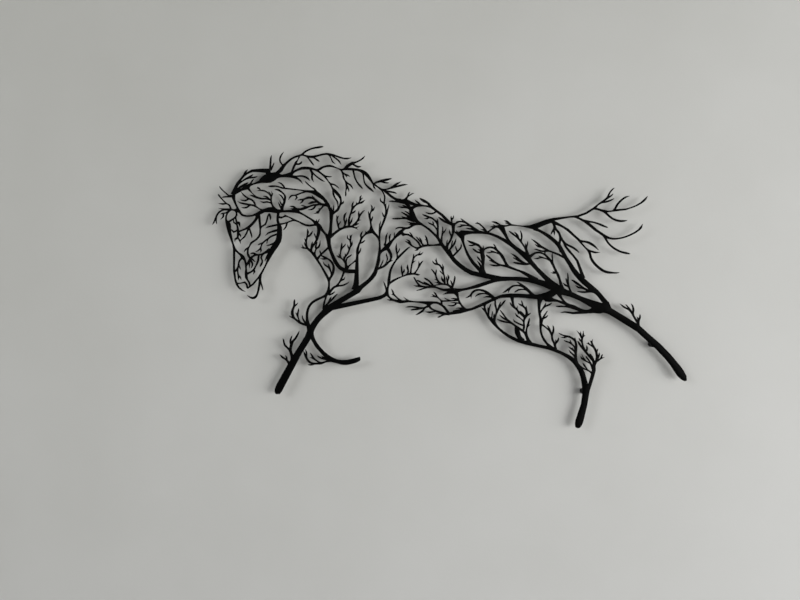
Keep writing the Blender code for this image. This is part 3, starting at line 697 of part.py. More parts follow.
def stifle():
    """The hanging locks between the belly and the stifle."""
    return [
        [(485, 304, 2.2), (484.5, 307, 1.8), (485.3, 310.5, 1.8), (486.7, 314, 2), (489, 317.3, 2.3),
         (491.5, 319.7, 2.5), (494, 322, 2.9), (496, 325, 2.3), (499, 328.7, 2.1), (502.5, 331.8, 2.3),
         (506.5, 334.6, 2.4), (511, 337.4, 2.5), (516, 339.9, 2.6), (521, 341.6, 3), (526, 342.7, 3.5),
         (531, 343.8, 3.3), (536, 345.2, 2.7), (541, 346.3, 2.6), (546, 347.3, 2.9), (550, 348.7, 2.8),
         (555, 350.4, 2.9), (560.1, 352.2, 2.9), (564.2, 354.1, 3), (568.3, 356.5, 3.3),
         (572.4, 359.4, 3.9), (575.2, 361.9, 4.4), (578.4, 366, 4.5), (581.3, 370.9, 4.6),
         (583.2, 376, 4.8), (584.4, 381, 5.1), (585.6, 386, 6), (586.1, 392, 6.6), (585.4, 398, 5.7),
         (584.2, 405, 5.6), (582.3, 411.5, 5.9), (580.4, 417.5, 6.7), (579.2, 421.5, 6.6)],
        [(485.8, 311.8, 1.6), (484, 309.5), (481.4, 306.9)],
        [(489, 317.4, 1.7), (488.8, 314, 1.5), (488.5, 311), (488.1, 306.8)],
        [(488.7, 313), (489, 310), (490, 307), (491.4, 303.4)],
        [(495.3, 300, 1.4), (495.2, 304, 1.5), (495.8, 307.5, 1.7), (497, 311, 2), (496.7, 314, 2),
         (495.7, 317, 2), (494, 321, 2.8)],
        [(497.2, 311.3, 1.8), (498.7, 308.5, 1.7), (500.7, 306, 1.6), (503, 303.3), (505.8, 299.8)],
        [(499.3, 307.8), (499.7, 305), (501.2, 301.4)],
        [(493.3, 320.8, 1.6), (491.8, 318, 1.4), (492.3, 315), (492.3, 310.8)],
        [(494.2, 319.5), (494.3, 313.3)],
        [(512, 296.5, 3.2), (512.8, 300.5, 2.4), (513.2, 304, 1.7), (514, 306.5, 1.7), (516.5, 309.3, 1.8),
         (519, 312, 1.8), (521.5, 314, 1.9), (524, 315.8, 2), (525.5, 317.7, 2.4), (524, 320.5, 1.7),
         (524, 323.5, 1.8), (524.2, 327, 1.7), (523.3, 331, 1.8)],
        [(514, 306.8), (512, 305.5), (509.9, 301.9)],
        [(525.6, 317.5, 2.4), (527, 314, 2.3), (526.5, 311, 2), (525.3, 308, 1.7), (523, 306, 1.6),
         (520.5, 304.7), (518.2, 303)],
        [(523.5, 306.4), (522.3, 303), (521.1, 300.2)],
        [(526.3, 310), (526.5, 305.8)],
        [(524, 316), (522.5, 313.5), (520, 310.8)],
        [(526.5, 316.2, 1.6), (529, 314.3), (531, 312.6)],
        [(524, 321.8, 1.6), (521.5, 319.3, 1.6), (519.5, 317.3, 1.5), (517, 316), (515, 313)],
        [(518.6, 313), (517.2, 309.5), (517.6, 305.7)],
        [(524.2, 326), (521.5, 324.3, 1.5), (519, 323), (516.5, 322.3), (514.5, 321.3), (513.2, 318.9)],
        [(499.5, 309.8), (502.5, 313, 1.3), (504.8, 316.5, 1.5), (507, 319.3, 1.6), (510, 321.6, 1.8),
         (512.5, 323.6, 2), (515, 325.4, 2.2), (518.5, 328, 2.1), (522, 330.3, 2.1), (525, 333, 1.9),
         (526.7, 337, 2.2), (529, 341, 3)],
        [(510, 321.6, 1.6), (505.5, 319.5, 1.5), (502.5, 317.3), (499.5, 314.5)],
        [(512, 323.3, 1.6), (508, 322.3, 1.5), (504, 321.8, 1.4), (500, 320.3), (496.9, 318.8)],
        [(516, 326.4, 2.6), (516.9, 329, 4.2), (517.5, 332.5, 4.7), (518.3, 335, 4.3), (520, 338, 3.6),
         (523.5, 341, 3.6)],
        [(530.5, 343.3, 3.4), (528.6, 339.5, 2.8), (527, 336, 2), (526.3, 332.5, 1.8), (526.8, 329, 1.6),
         (528, 325.5, 1.5), (528.7, 322), (529.7, 318)],
        [(527.9, 326), (530.6, 324.6)],
        [(540.5, 297, 6), (540, 300.5, 4.4), (539.3, 303.5, 2.8), (539.2, 307, 2.1), (539.3, 311, 2),
         (540, 315, 2.1), (540.8, 319, 2.3), (541, 323, 2.7), (540.6, 328, 1.9), (541, 332, 1.8),
         (542.3, 336, 1.9), (544.3, 340, 2), (547, 343.7, 2.3), (550.5, 346.9, 2.4), (555, 350, 3)],
        [(539.7, 313.6, 1.6), (541.5, 311, 1.5), (543.2, 308.5, 1.6), (545.2, 306.3, 1.6),
         (548, 305.4, 1.5), (550.3, 304), (552.3, 302.4)],
        [(544.8, 306.7), (545.6, 304.3), (546.2, 302.2)],
        [(541, 322.5, 2), (543, 318.5, 1.7), (544, 316.3, 1.5), (545.5, 314), (548.1, 310.6)],
        [(543.1, 318.6), (545.5, 317.6), (548.3, 315)],
        [(555.7, 350, 2.8), (555.8, 347, 2.3), (555.2, 345, 2), (554.3, 343, 1.8), (552.8, 340.3, 1.8),
         (552.2, 337.5, 1.9), (552, 334.8, 2), (550.5, 332.5, 1.6), (549.3, 330.3, 1.5),
         (547.5, 328.8, 1.4), (545, 327, 1.3), (542.8, 325.2, 1.3), (541, 323.4, 1.6)],
        [(552, 335, 1.7), (553.3, 332, 1.6), (553.7, 329), (552.9, 325.2)],
        [(550, 331.5), (549.3, 328.3), (547, 325.3)],
        [(555.2, 345), (556.7, 342), (558.2, 340.5), (558.8, 337.4)],
        [(556.6, 342.3), (555.5, 339.5)],
    ]


# Rump and tail
def rump():
    """The knot at the dock and the lines that run down to the hocks."""
    return [
        [(534, 228.3, 3), (536.5, 229.4, 2.6), (539, 230.3, 2.3), (542, 232, 2.4), (545.5, 234.2, 2.7),
         (549, 236.3, 3), (552.5, 239, 3), (556, 242, 3.1), (559, 245.3, 3.5), (562, 250, 3.8),
         (565, 255, 4), (567.6, 259.5, 4.1), (570.5, 264.5, 3.9), (573.7, 270, 4.1), (577, 274.5, 4.3),
         (580.5, 278.3, 5), (584.5, 282, 4.8), (588.5, 285.6, 4.5), (593, 289.4, 4.5), (597, 292.4, 4.4),
         (600, 295.6, 3.7), (603, 299.2, 4), (606, 303, 4.6), (608, 307.5, 6)],
        [(559.5, 246.5, 2), (560, 249.7, 1.5), (560, 252.6)],
        [(552, 220.5, 3.6), (554, 223, 2.8), (554.4, 226, 2.1), (555.3, 228.3, 2.1), (557, 230.7, 2),
         (559, 232.7, 1.9), (560.2, 235.3, 2.1), (560.7, 238, 2.6), (560.2, 240.5, 1.8), (559, 244, 2.2)],
        [(554.4, 227.3, 1.6), (553.5, 230, 1.5), (552.3, 232), (551, 235)],
        [(553.6, 229.8), (554.6, 232.5), (554.5, 235.4)],
        [(561, 237.8, 2.2), (563, 240.8, 2.1), (565, 243.3, 2), (568, 244.8, 1.7), (571, 246.2, 1.7),
         (574, 248, 1.6), (577, 250.4, 1.4), (579.2, 252.8)],
        [(564, 242.5, 1.7), (565.4, 246, 1.6), (568, 249.3, 1.7), (571, 252.7, 1.8), (574.5, 256.5, 1.9),
         (577.4, 260.7, 1.9), (579.2, 265, 2), (580.7, 269.5, 2.1), (582.1, 274, 2.6), (583.6, 278.3, 3)],
        [(527.9, 257.5, 5), (530, 256.5, 2.8), (532, 254.8, 2.1), (535, 253.1, 1.8), (539, 252.4, 1.7),
         (542, 253.4, 1.5), (545, 254.5, 1.6), (546.8, 256.5, 1.9), (549, 258.7, 2), (551, 260.7, 2.1),
         (552.3, 263, 2.3), (553.5, 266, 2.4), (555.3, 269, 2.1), (557, 272.5, 2), (558.5, 275.5, 2),
         (559.8, 279, 2.1), (560.7, 283, 2.1), (561.5, 286, 2.5), (562.5, 289, 3.4)],
        [(551, 260.8, 1.6), (548.5, 259.5, 1.6), (545, 258.7, 1.5), (541.5, 257.3), (538.5, 255.4)],
        [(541.5, 257.4), (537.5, 258.4), (533.4, 258.8)],
        [(552.8, 264, 1.4), (552.5, 257), (552.6, 253)],
        [(557, 272.8, 1.6), (555.5, 272.8), (553.5, 273), (550.6, 272.5)],
        [(555.3, 272.8), (552.5, 270.7)],
        [(564, 257.6, 2), (561.5, 255.9, 1.8), (558, 254.1, 1.7), (554, 252.3, 1.7), (550, 250.9, 1.8),
         (546, 251.3, 1.7), (542.5, 251.2, 1.5), (539, 250), (534.3, 249.1)],
        [(545, 251.4), (545.2, 254.4)],
        [(549, 250.9, 1.7), (546.5, 249.6, 1.7), (544, 248.3, 2), (541, 246.3, 1.8), (537.5, 243.2, 1.5),
         (534.5, 240.9), (531, 238.7)],
        [(542.5, 247.4), (538, 246.3), (534.7, 243.7)],
        [(570.9, 291.5, 2.2), (569.7, 288, 1.9), (568.5, 285, 1.7), (568, 281, 1.5), (568, 277),
         (567.5, 272.8)],
        [(568.2, 283), (567, 281.5), (566.1, 277.9)],
        [(569.2, 287, 1.6), (567, 286), (565, 285), (562.8, 282.4)],
        [(598, 293, 3), (594, 291.5, 2.7), (590, 291.3, 2.1), (587, 290, 1.9), (584, 288.3, 1.9),
         (581, 286, 1.7), (578, 283.5, 1.5), (575, 281.7), (571.4, 279.6)],
        [(584, 288.6), (581, 288.4), (578, 287.3), (575.1, 284.9)],
        [(590, 291.6, 1.7), (585, 292.2, 1.6), (581, 291.7), (576.9, 290.9)],
    ]


def dock_and_tail():
    """The tail's four streaming locks, each forked."""
    return [
        [(552, 220.4, 3.6), (554, 219.1, 2.4), (558, 218.3, 2), (562, 217.6, 1.9), (567, 217, 1.9),
         (571, 216.6, 1.8), (575, 216.4, 2), (578, 216.1, 1.9), (581, 215.2, 1.8), (586.5, 213, 1.9),
         (590, 211, 1.9), (592.5, 209.3, 2), (595, 207.4, 2.6), (596.3, 205.9, 1.8), (598, 204.6, 1.6),
         (601, 203, 2.1), (603, 201.5, 2.1), (605.5, 199.3, 1.7), (607.5, 197.7, 1.7), (608.5, 195.2, 1.4),
         (610, 192.5, 1.2), (612, 190), (615, 187.7)],
        [(607.6, 198), (610.5, 196.3), (613.4, 193.3)],
        [(602.5, 202.3, 1.7), (606, 201.9, 1.4), (609, 200.9), (614.6, 198.2)],
        [(594, 208, 2.4), (598, 209.3, 1.9), (601, 210.2, 1.9), (604.5, 211.2, 2.3), (608, 211.4, 1.6),
         (611.5, 211.2, 1.5), (614.5, 210.4, 2.1), (618, 210.2, 1.7), (622, 209.9, 1.5), (626, 209.2, 1.5),
         (630, 208, 1.5), (634, 206.4, 1.6), (638, 204.7, 1.6), (641, 203, 1.5), (644, 200.8, 1.4),
         (646, 198.7, 1.3), (647.9, 195.7)],
        [(614, 210.5, 2), (616, 207, 1.6), (618, 203.8, 1.7), (620.5, 201, 1.7), (623.5, 198.5, 1.6),
         (626, 197, 1.4), (630.1, 195.9)],
        [(604, 211, 2), (607, 213.8, 1.7), (610, 216.6, 1.6), (613, 218.7, 1.6), (616.5, 220.2, 1.7),
         (620, 220.9, 1.8), (623.5, 220.9, 1.5), (627.6, 220.1)],
        [(574.5, 216.5, 1.8), (579.5, 218.3, 1.8), (583, 220.3, 2), (586, 221.7, 2.9), (589, 224, 2.3),
         (592.5, 227.3, 2.2), (596, 230, 2.2), (600, 232.8, 2.1), (603.5, 235, 2.1), (605.5, 236.3, 3),
         (609, 238, 2), (613, 238.7, 1.7), (618, 238.5, 1.5), (622.5, 237.7, 1.5), (627, 236.3, 1.5),
         (631, 234.6, 1.5), (635.5, 232.3, 1.5), (639, 229.8, 1.5), (641.3, 227.5, 1.4), (642.9, 223.7)],
        [(586, 221.3, 2.2), (590, 221.4, 1.6), (594, 222.2, 1.4), (598, 223.5, 1.4), (602, 225, 1.3),
         (605.5, 226.5), (608.2, 227.6)],
        [(605, 236.3, 2.2), (606, 239.5, 1.6), (608.5, 243, 1.5), (612, 246.3, 1.6), (616, 249.3, 1.7),
         (620, 251.3, 1.6), (625, 252.8, 1.4), (630.6, 253.9)],
        [(553.5, 222.5, 2.8), (557.5, 223.8, 2.1), (561, 225.4, 2), (564.5, 227.4, 2), (568, 229.8, 2.1),
         (571, 232.4, 2.1), (574, 235.4, 2.1), (577, 238.6, 2.3), (579.5, 240.9, 2.7), (582, 244.5, 1.7),
         (585, 247.5, 1.7), (588, 249.7, 1.9), (589.5, 251.5, 2.1), (590.3, 254.5, 1.7), (591.2, 258, 2),
         (593, 261.3, 2.1), (596, 265, 2.1), (599.5, 268, 2.1), (603.5, 270.7, 2.1), (608, 272.3, 2),
         (613, 272.7, 1.6), (620, 272.3)],
        [(579.5, 240.9, 2.4), (581, 241.1, 1.9), (585, 241.5, 1.7), (589, 242.6, 2), (592.5, 244.5, 2),
         (595.5, 246.8, 1.5), (599, 250.2)],
        [(589, 250.5, 1.6), (592.5, 251.6, 1.5), (595.5, 252.4, 1.6), (600.6, 252.3)],
    ]


# Legs
def chest():
    """The front of the chest and the twigs on it."""
    return [
        [(318.2, 226.2, 2.8), (318.5, 229.8, 3.1), (318.5, 232.9, 2.7), (317.4, 236.1, 2),
         (316.5, 239.7, 1.8), (315.2, 242.8, 1.9), (312.9, 245.5, 1.9), (311.3, 248.5, 2),
         (311, 251.5, 2.2)],
        [(307, 228.3), (307.8, 231.1, 1.6), (307.5, 234.3, 1.4), (306.9, 237.9, 1.5), (306.2, 240.6, 1.6),
         (306.4, 243.7, 1.7), (306.8, 247.5, 1.9), (309.5, 250, 2.1), (312.5, 253, 2.4), (315, 256, 2.5),
         (317, 260, 2.1), (319, 264, 2.1), (321.5, 268, 2.1), (324, 271.8, 2.1), (326.5, 275.5, 2.1),
         (328.3, 278.8, 2.3), (329, 282, 2), (328.9, 286, 2), (328.5, 290, 2.5), (327.5, 293, 3.2),
         (325.5, 295.6, 2.4), (322, 297.4, 2), (318, 299.1, 2.1), (314.5, 300.9, 2.1), (311.5, 303.2, 2.1),
         (309, 306.5, 2.1), (307.5, 310.5, 2.1), (306.9, 315, 2.2), (306.9, 319, 2.4), (307.7, 323.5, 3),
         (309, 328, 4.4), (310, 332, 5)],
        [(307.3, 236.5), (308.9, 236.1), (312.7, 230.6)],
        [(306.2, 241.8), (305.1, 239.9), (304.1, 237.8)],
        [(306.4, 246.4), (304.9, 244.6), (304.2, 241.8)],
        [(307.6, 248.5), (305, 248.3), (303, 247), (301.8, 244)],
        [(304.8, 248.2), (300.8, 247.4)],
        [(316.6, 238.3), (315, 236.1), (314.4, 232.8)],
        [(311.3, 248), (312, 243.7), (312.7, 241.3)],
        [(314.6, 255.5, 2), (315, 251, 1.5), (316, 248.8, 1.5), (318.5, 247, 1.5), (319.7, 244),
         (320.2, 240)],
        [(316, 248.8), (315.4, 246.8), (317.5, 241.8)],
        [(317, 260, 1.9), (318.7, 256.5, 1.7), (321, 254.2, 1.7), (323.5, 252, 1.5), (326, 249.3, 1.4),
         (329, 246.6, 1.4)],
        [(321, 254.3), (320, 251.5), (319.8, 249.9)],
        [(320.3, 254.8, 1.4), (324, 257.3, 1.3), (327.5, 258.7, 1.6), (330, 260.3, 1.8), (332, 263, 1.9),
         (333.5, 266, 2), (333.5, 269.5, 1.9), (332.8, 273, 2.2), (331, 277, 2.1), (329, 280.5, 2.1)],
        [(326.5, 258.4), (323, 259), (319.4, 258.3)],
        [(331.8, 275, 1.7), (330.3, 270.8, 1.5), (329, 268, 1.5), (327, 266), (324.3, 264.3),
         (322.7, 261.2)],
        [(329.3, 268.4), (328.2, 263.4)],
        [(344.4, 271, 2), (342.5, 275, 1.6), (341.5, 278.3, 1.6), (340, 281.5, 1.7), (338, 284, 1.7),
         (336.5, 286, 1.9)],
        [(340.8, 280.6), (343.8, 279.3), (345.3, 275.9)],
        [(327.8, 294.5, 2.6), (330, 292, 2.1), (331.5, 289.7, 1.9), (334, 287.2, 1.9), (337, 285.9, 1.9),
         (340, 286, 1.6), (343, 285.2, 1.5), (346, 283.8), (349.2, 281.6)],
        [(328.5, 294.8, 1.6), (331, 294.3), (335.2, 291.2)],
        [(323.4, 309.5, 2.4), (325, 306.5, 1.7), (327, 304.3, 1.6), (329, 302, 1.6), (331.5, 300, 1.5),
         (334, 297.7), (336.5, 294.8), (338.2, 293.6)],
        [(327.5, 303.8), (329.7, 299.5), (331.7, 296.4)],
        [(326.3, 295.3, 1.6), (325.3, 299, 1.4), (324.5, 302, 1.4), (323.8, 305, 1.5), (323.5, 309.5, 2.4)],
    ]


def near_foreleg():
    """The straight foreleg that reaches forward and down, from the shoulder to the hoof."""
    return [
        [(359.5, 289, 4), (357, 291, 5), (353, 293.4, 5.2), (348, 296, 4.9), (343, 299, 4.6),
         (338, 302.2, 5), (333, 305.6, 6.4), (328, 309.2, 6.6), (323, 313.5, 6), (319, 317.8, 5.2),
         (315.5, 322, 5.2), (312.7, 326.5, 5.5), (310.4, 331, 6.1), (308, 336.8, 6.4),
         (304.5, 342.7, 5.5), (300.5, 349, 5.6), (297, 355, 6.3), (293.6, 361.5, 6.9), (290, 368, 6.6),
         (286.1, 375, 7.3), (283.3, 380, 7.3), (280.7, 385, 7.2), (278.8, 389, 6.8)],
        [(357.5, 289.3, 3.6), (361.2, 289.4, 3)],
        [(309.5, 327, 3), (307.5, 325.3, 2.4), (305, 324.7, 2.1), (302, 323.8, 2), (299.5, 322.5, 2),
         (297, 320.5, 1.7), (294.5, 318.5, 1.7), (292, 317.5), (288.8, 315.5)],
        [(294.3, 318.5, 1.8), (292.5, 315, 2.3), (292.2, 311.5, 2.3), (293, 308.3, 2.2), (294, 306, 1.8),
         (294.3, 303), (294.4, 299)],
        [(293.8, 307), (295.7, 305.2), (297.9, 302.5)],
        [(299.8, 322.3, 1.7), (299, 318.8, 1.6), (297.5, 316, 1.6), (297.5, 313.5, 1.5), (298.2, 311),
         (298.4, 308.2)],
        [(297.4, 315.6), (295.2, 312.5)],
        [(307.3, 324.5, 2), (304.3, 321.7, 1.6), (302.8, 319), (302.2, 315.2)],
        [(293.6, 361, 4), (291.8, 357.5, 3), (291.2, 354, 2.6), (290, 350.5, 2.7), (290.8, 347.5, 2.6),
         (291.3, 344.5, 2.5), (292.5, 341.5, 2.2), (295.3, 338.5, 1.8), (297.5, 334.5), (299.2, 330.5)],
        [(291, 346, 1.6), (290.2, 342, 1.5), (290.7, 339), (292.3, 335.4)],
        [(290, 350.7, 1.8), (287, 347.5, 1.7), (284.5, 344.8, 1.6), (283.8, 341.8), (282.6, 338.3)],
        [(290.8, 365, 4), (288.2, 362.2, 2.2), (286.5, 360, 1.7), (283.5, 358, 1.5), (281.5, 356.7),
         (279.6, 354.3)],
        [(287, 360.6), (286.7, 358), (285, 355.2)],
    ]


def far_foreleg():
    """The bent foreleg, from the knee to the upturned hoof."""
    return [
        [(310.5, 332, 5.6), (312, 337.1, 3.7), (315.2, 343.6, 3.2), (318.8, 348.2, 3.4),
         (322.7, 352.5, 3.7), (326.8, 356.5, 3.9), (330.9, 359.3, 4.2), (336, 361.3, 3.7),
         (341, 362.3, 3.9), (346, 362.5, 4.4), (351, 361.6, 4.4), (355.5, 360.2, 4.1)],
        [(332, 360.6, 2.6), (329, 361.1, 1.8), (325, 361.8, 1.7), (321.5, 363.1, 2.2), (317, 363.9, 1.8),
         (313, 363.5, 1.8), (310, 362.5, 1.8), (307.5, 360, 1.8), (306, 357, 1.6), (305, 354.5),
         (303.5, 350.8)],
        [(306.8, 358.8, 1.5), (306.4, 355), (306.3, 352), (305.1, 349)],
        [(314.5, 363.9), (311, 364.9), (307.5, 364.4)],
        [(320.8, 363.1, 1.7), (317.5, 361, 1.6), (314.5, 359.3, 1.6), (312.5, 357), (311, 354.6),
         (309.6, 352.6)],
        [(313.8, 358.8), (309.4, 357.2)],
        [(329.5, 360, 1.8), (324.5, 359.3, 1.5), (321.5, 358.3), (319, 357), (316.8, 355.3)],
        [(326.5, 359.5), (323, 357.3), (320.4, 355.4)],
    ]


def near_hindleg():
    """The twigs behind the planted hind leg."""
    return [
        [(576, 361, 3.2), (576.3, 356, 2.2), (575.8, 352.5, 2.3), (576.4, 349.5, 2.3), (576.4, 346, 2),
         (575.8, 342, 1.9), (574.4, 339.8, 1.9), (572, 338, 2), (569.5, 336.8, 1.9), (566.5, 336.4, 1.7),
         (563.5, 335.5), (558.7, 332.7)],
        [(567.5, 336.8), (564.5, 337.5), (560.5, 337.4)],
        [(576.4, 343.8), (575.7, 341), (575.2, 337.4)],
        [(576.7, 350.5, 1.6), (574.7, 347, 1.6), (572.5, 344.7, 1.6), (570, 342.7, 1.5), (567, 341.5),
         (563.9, 340)],
        [(571.6, 344), (571.3, 342.5), (570.2, 339.4)],
        [(576, 353.3, 1.6), (573.5, 350, 1.5), (571.3, 348.5), (568.7, 346.3)],
        [(576.7, 358.8, 1.8), (574.5, 355.8, 1.6), (572.5, 354, 1.5), (570.5, 352), (568.8, 349.5)],
        [(574.2, 351), (572.4, 347.4)],
        [(587.6, 391, 3.4), (589, 388, 3), (590.5, 383.5, 2.5), (591.8, 379, 2.4), (593, 374.5, 2.9),
         (594, 370.5, 3.1), (594.4, 367, 3), (594.6, 364, 2.4), (593.5, 361, 2.1), (591, 358.3, 1.9),
         (588.5, 355.3, 2), (586.3, 352.3, 2.1), (584.5, 349.8, 1.9), (583.3, 347, 1.7), (582.7, 344, 1.7),
         (582, 341, 1.7), (582.3, 338.5, 1.7), (580.7, 335.5, 1.5), (579, 333.3), (576.8, 330.4)],
        [(582.3, 338.8), (583.6, 335.5), (583.4, 330.7)],
        [(583.6, 336.3), (585.7, 335.4)],
        [(580.9, 335.8), (580.8, 331.4)],
        [(582.1, 341.8), (580, 339.7), (579, 337.8)],
        [(584.6, 349.9, 1.6), (581.3, 346.7, 1.5), (579.8, 344), (577.7, 340.8)],
        [(586.2, 352), (587.3, 349), (586.7, 345.4)],
        [(594, 362.5, 1.7), (593.3, 359, 1.5), (591.7, 356.5), (589.6, 353.4)],
        [(593.3, 368.6, 2.6), (592, 365.7, 2.2), (590.7, 363.5, 1.6), (588, 362.3, 1.5), (586, 361.2, 1.4),
         (584.3, 359.3), (583.3, 357.3), (581.8, 354)],
        [(584.4, 359.6), (582.3, 358.8), (580.8, 356.2)],
        [(590.9, 363.8), (590, 361.5), (588, 359), (585.9, 355.9)],
        [(594.7, 364.3, 2.3), (596.7, 361.3, 1.9), (599, 359.8, 1.6), (601, 358.8, 1.5), (605, 357.2)],
        [(600.7, 359), (601.7, 356.5), (603, 354.2)],
        [(597, 361, 2.3), (597.3, 357.3, 2.2), (597, 354.5, 2.1), (596.3, 351.3, 2.1), (595.3, 349, 2),
         (594, 347, 1.9), (592.7, 344.7, 1.6), (592, 342.3), (592.8, 339.2)],
        [(594.3, 347.5), (591.3, 345.7), (589, 344.3), (586.4, 343.3)],
        [(590.3, 345.1), (588, 341.9)],
        [(592.3, 343.4), (590.2, 340.4)],
        [(596.6, 352.7), (598.2, 348.7)],
        [(597.4, 358.2), (599.3, 355.5), (599.3, 352.4)],
        [(593, 374, 2), (590, 371.3, 1.6), (587.5, 370.3, 1.6), (585, 369.3, 1.5), (582.5, 367.8, 1.5),
         (579.5, 366, 1.6)],
        [(588.3, 370.6), (586.5, 368), (584.7, 365.7), (582.8, 362.8)],
    ]


def far_hindleg():
    """The hind leg thrown back, with the hock's knot and its twigs."""
    return [
        [(556, 289, 8), (561, 290.8, 6.6), (566, 292.4, 5.4), (571, 294.3, 4.6), (576, 296.5, 4.6),
         (581, 298.3, 4.8), (586, 300.8, 5.6), (591, 303.3, 6.4), (596, 305.5, 7.4), (601, 307.4, 8.6),
         (605.5, 309, 8.2), (610.1, 311.2, 6.2), (615.1, 314.2, 5.7), (620.1, 317.1, 5.7),
         (625.1, 320.2, 6), (630.2, 323.5, 6.6), (634.2, 326, 6.6), (638.8, 328.9, 5.9),
         (643.3, 333.1, 5.9), (648.2, 337.3, 6.1), (653, 341.4, 6.1), (658, 346.1, 6.1), (663, 351.4, 6),
         (667.9, 356.8, 5.9), (672.8, 362.7, 6), (675.8, 366.3, 6.1)],
        [(546, 298.5, 5.6), (550, 299.2, 4.6), (554, 300.1, 2.6), (558, 300.9, 2), (562, 302.3, 2),
         (566, 304, 2.4), (570, 305.4, 3), (574, 307, 3.2), (578, 309, 3.2), (582, 310.7, 2.8),
         (587, 311.3, 2.6), (590.5, 311, 3.4), (594, 309.8, 6), (600, 309.3, 8)],
        [(557.2, 291.5, 4.4), (559.7, 294.5, 2.8), (561, 297, 1.9), (563.2, 300, 1.9), (566.2, 303.6, 2.4)],
        [(576, 308.5, 2.8), (573, 307.7, 2.2), (570, 307.1, 1.9), (565, 306.4, 1.5), (560, 306.3),
         (555.8, 306.3)],
        [(600, 311.6, 3), (594, 311.8, 2.2), (586, 312, 2.2), (580, 312.3, 2.4), (576, 312.9, 2.3),
         (573, 313.1, 2), (570, 312.6, 1.7), (565, 312), (560.3, 312.3)],
        [(637.6, 327, 4), (638.6, 323.6, 2.4), (637.5, 321.5, 1.8), (635.5, 319.3, 1.7), (634, 316.5, 1.7),
         (633, 313.7, 2.1), (631, 311.7, 1.8), (629.5, 309.7, 1.7), (626.5, 308.7, 1.4), (623.5, 306.7),
         (620.2, 303.6)],
        [(629.7, 309.8), (628.3, 307), (625.6, 304.3)],
        [(633, 313.7, 1.6), (633.7, 310.5, 1.5), (633.3, 307.3), (631.2, 303.6)],
        [(638.7, 323.8, 2.2), (639, 320.5, 1.6), (640.2, 317.5), (640.2, 314.2)],
        [(639, 320.8), (638.3, 318.5), (637, 316.4)],
    ]


def hooves():
    """The rounded hoof ends, as outlines."""
    return [
        [(281.9, 375), (278.8, 380), (276, 385), (274.8, 388.5), (274.7, 392.5), (275.8, 394.2),
         (279.6, 394.2), (281.8, 391.5), (285.6, 385), (288.2, 380), (290.4, 375)],
        [(353, 358.4), (356.5, 357.6), (359.8, 356.7), (360.3, 357.5), (360.3, 360.3), (359.7, 361),
         (357.5, 361.9), (354.5, 363)],
        [(578.8, 413), (577.1, 417.5), (575.6, 421.5), (575.2, 425), (576, 427.6), (577.3, 428.2),
         (579.4, 428.1), (581.7, 425.7), (583.6, 421), (584.6, 417.5), (585.5, 413)],
        [(675.4, 360.8), (680.4, 365.8), (682.8, 369.2), (685, 372.8), (686.7, 376), (687, 380.4),
         (685.2, 381.2), (681.5, 379.5), (677.6, 375.9), (674.2, 370.3), (670.6, 365.9)],
        [(604, 304.5), (608.8, 301.5), (609.6, 304.5), (611.5, 308), (615, 311), (610, 314.4), (607.8, 313),
         (604, 312.8), (600, 313.3), (594, 313), (592, 309), (596, 306)],
        [(555, 288), (563, 288.8), (566, 292), (561, 294.8), (557.3, 294), (551.8, 296.3), (553, 301.3),
         (545, 301.3), (541, 296), (547, 292)],
    ]


REGIONS = (
    forelock, brow, cheek, muzzle, mane_crest, mane_fringe, throat, neck_locks, neck_middle, withers, back,
    barrel_twigs, ribs, belly, flank, stifle, rump, dock_and_tail, chest, near_foreleg, far_foreleg,
    near_hindleg, far_hindleg,
)


# From branches to one outline
def cut_width(core):
    """The width cut for a branch whose core has this width, in squares."""
    twig, limb = TWIG_ROOT_WIDTH / SQUARE, LIMB_WIDTH / SQUARE
    share = max(0.0, min(1.0, (core - twig) / (limb - twig)))
    return core + (FULLNESS + LIMB_FULLNESS * share) / SQUARE


def read_branch(points):
    """The places and widths of a branch from its root, and whether it ends in a tip."""
    if len(points[0]) == 2 and len(points[-1]) == 3:
        points = points[::-1]
    last = len(points) - 1
    known = {index: point[2] for index, point in enumerate(points) if len(point) == 3}
    pointed = last not in known
    known.setdefault(0, TWIG_ROOT_WIDTH / SQUARE)
    known.setdefault(last, TWIG_END_WIDTH / SQUARE)
    widths = []
    for index in range(len(points)):
        before = max(mark for mark in known if mark <= index)
        after = min(mark for mark in known if mark >= index)
        share = (index - before) / max(after - before, 1)
        widths.append(cut_width(known[before] + (known[after] - known[before]) * share))
    places = [Vector((point[0], -point[1])) for point in points]
    return places, widths, pointed


def smooth_line(places, widths):
    """The centre line as a smooth run of (place, width) about CURVE_STEP apart."""
    last = len(places) - 1
    reach = [(places[index + 1] - places[index]).length for index in range(last)]
    slopes = []
    for index in range(last + 1):
        first, second = max(index - 1, 0), min(index + 1, last)
        slopes.append((places[second] - places[first]) / sum(reach[first:second]))
    line = []
    for index in range(last):
        steps = max(1, round(reach[index] / CURVE_STEP))
        for step in range(steps):
            t = step / steps
            place = places[index] * (2 * t ** 3 - 3 * t ** 2 + 1)
            place += places[index + 1] * (3 * t ** 2 - 2 * t ** 3)
            place += slopes[index] * reach[index] * (t ** 3 - 2 * t ** 2 + t)
            place += slopes[index + 1] * reach[index] * (t ** 3 - t ** 2)
            line.append((place, widths[index] + (widths[index + 1] - widths[index]) * t))
    line.append((places[last], widths[last]))
    return line


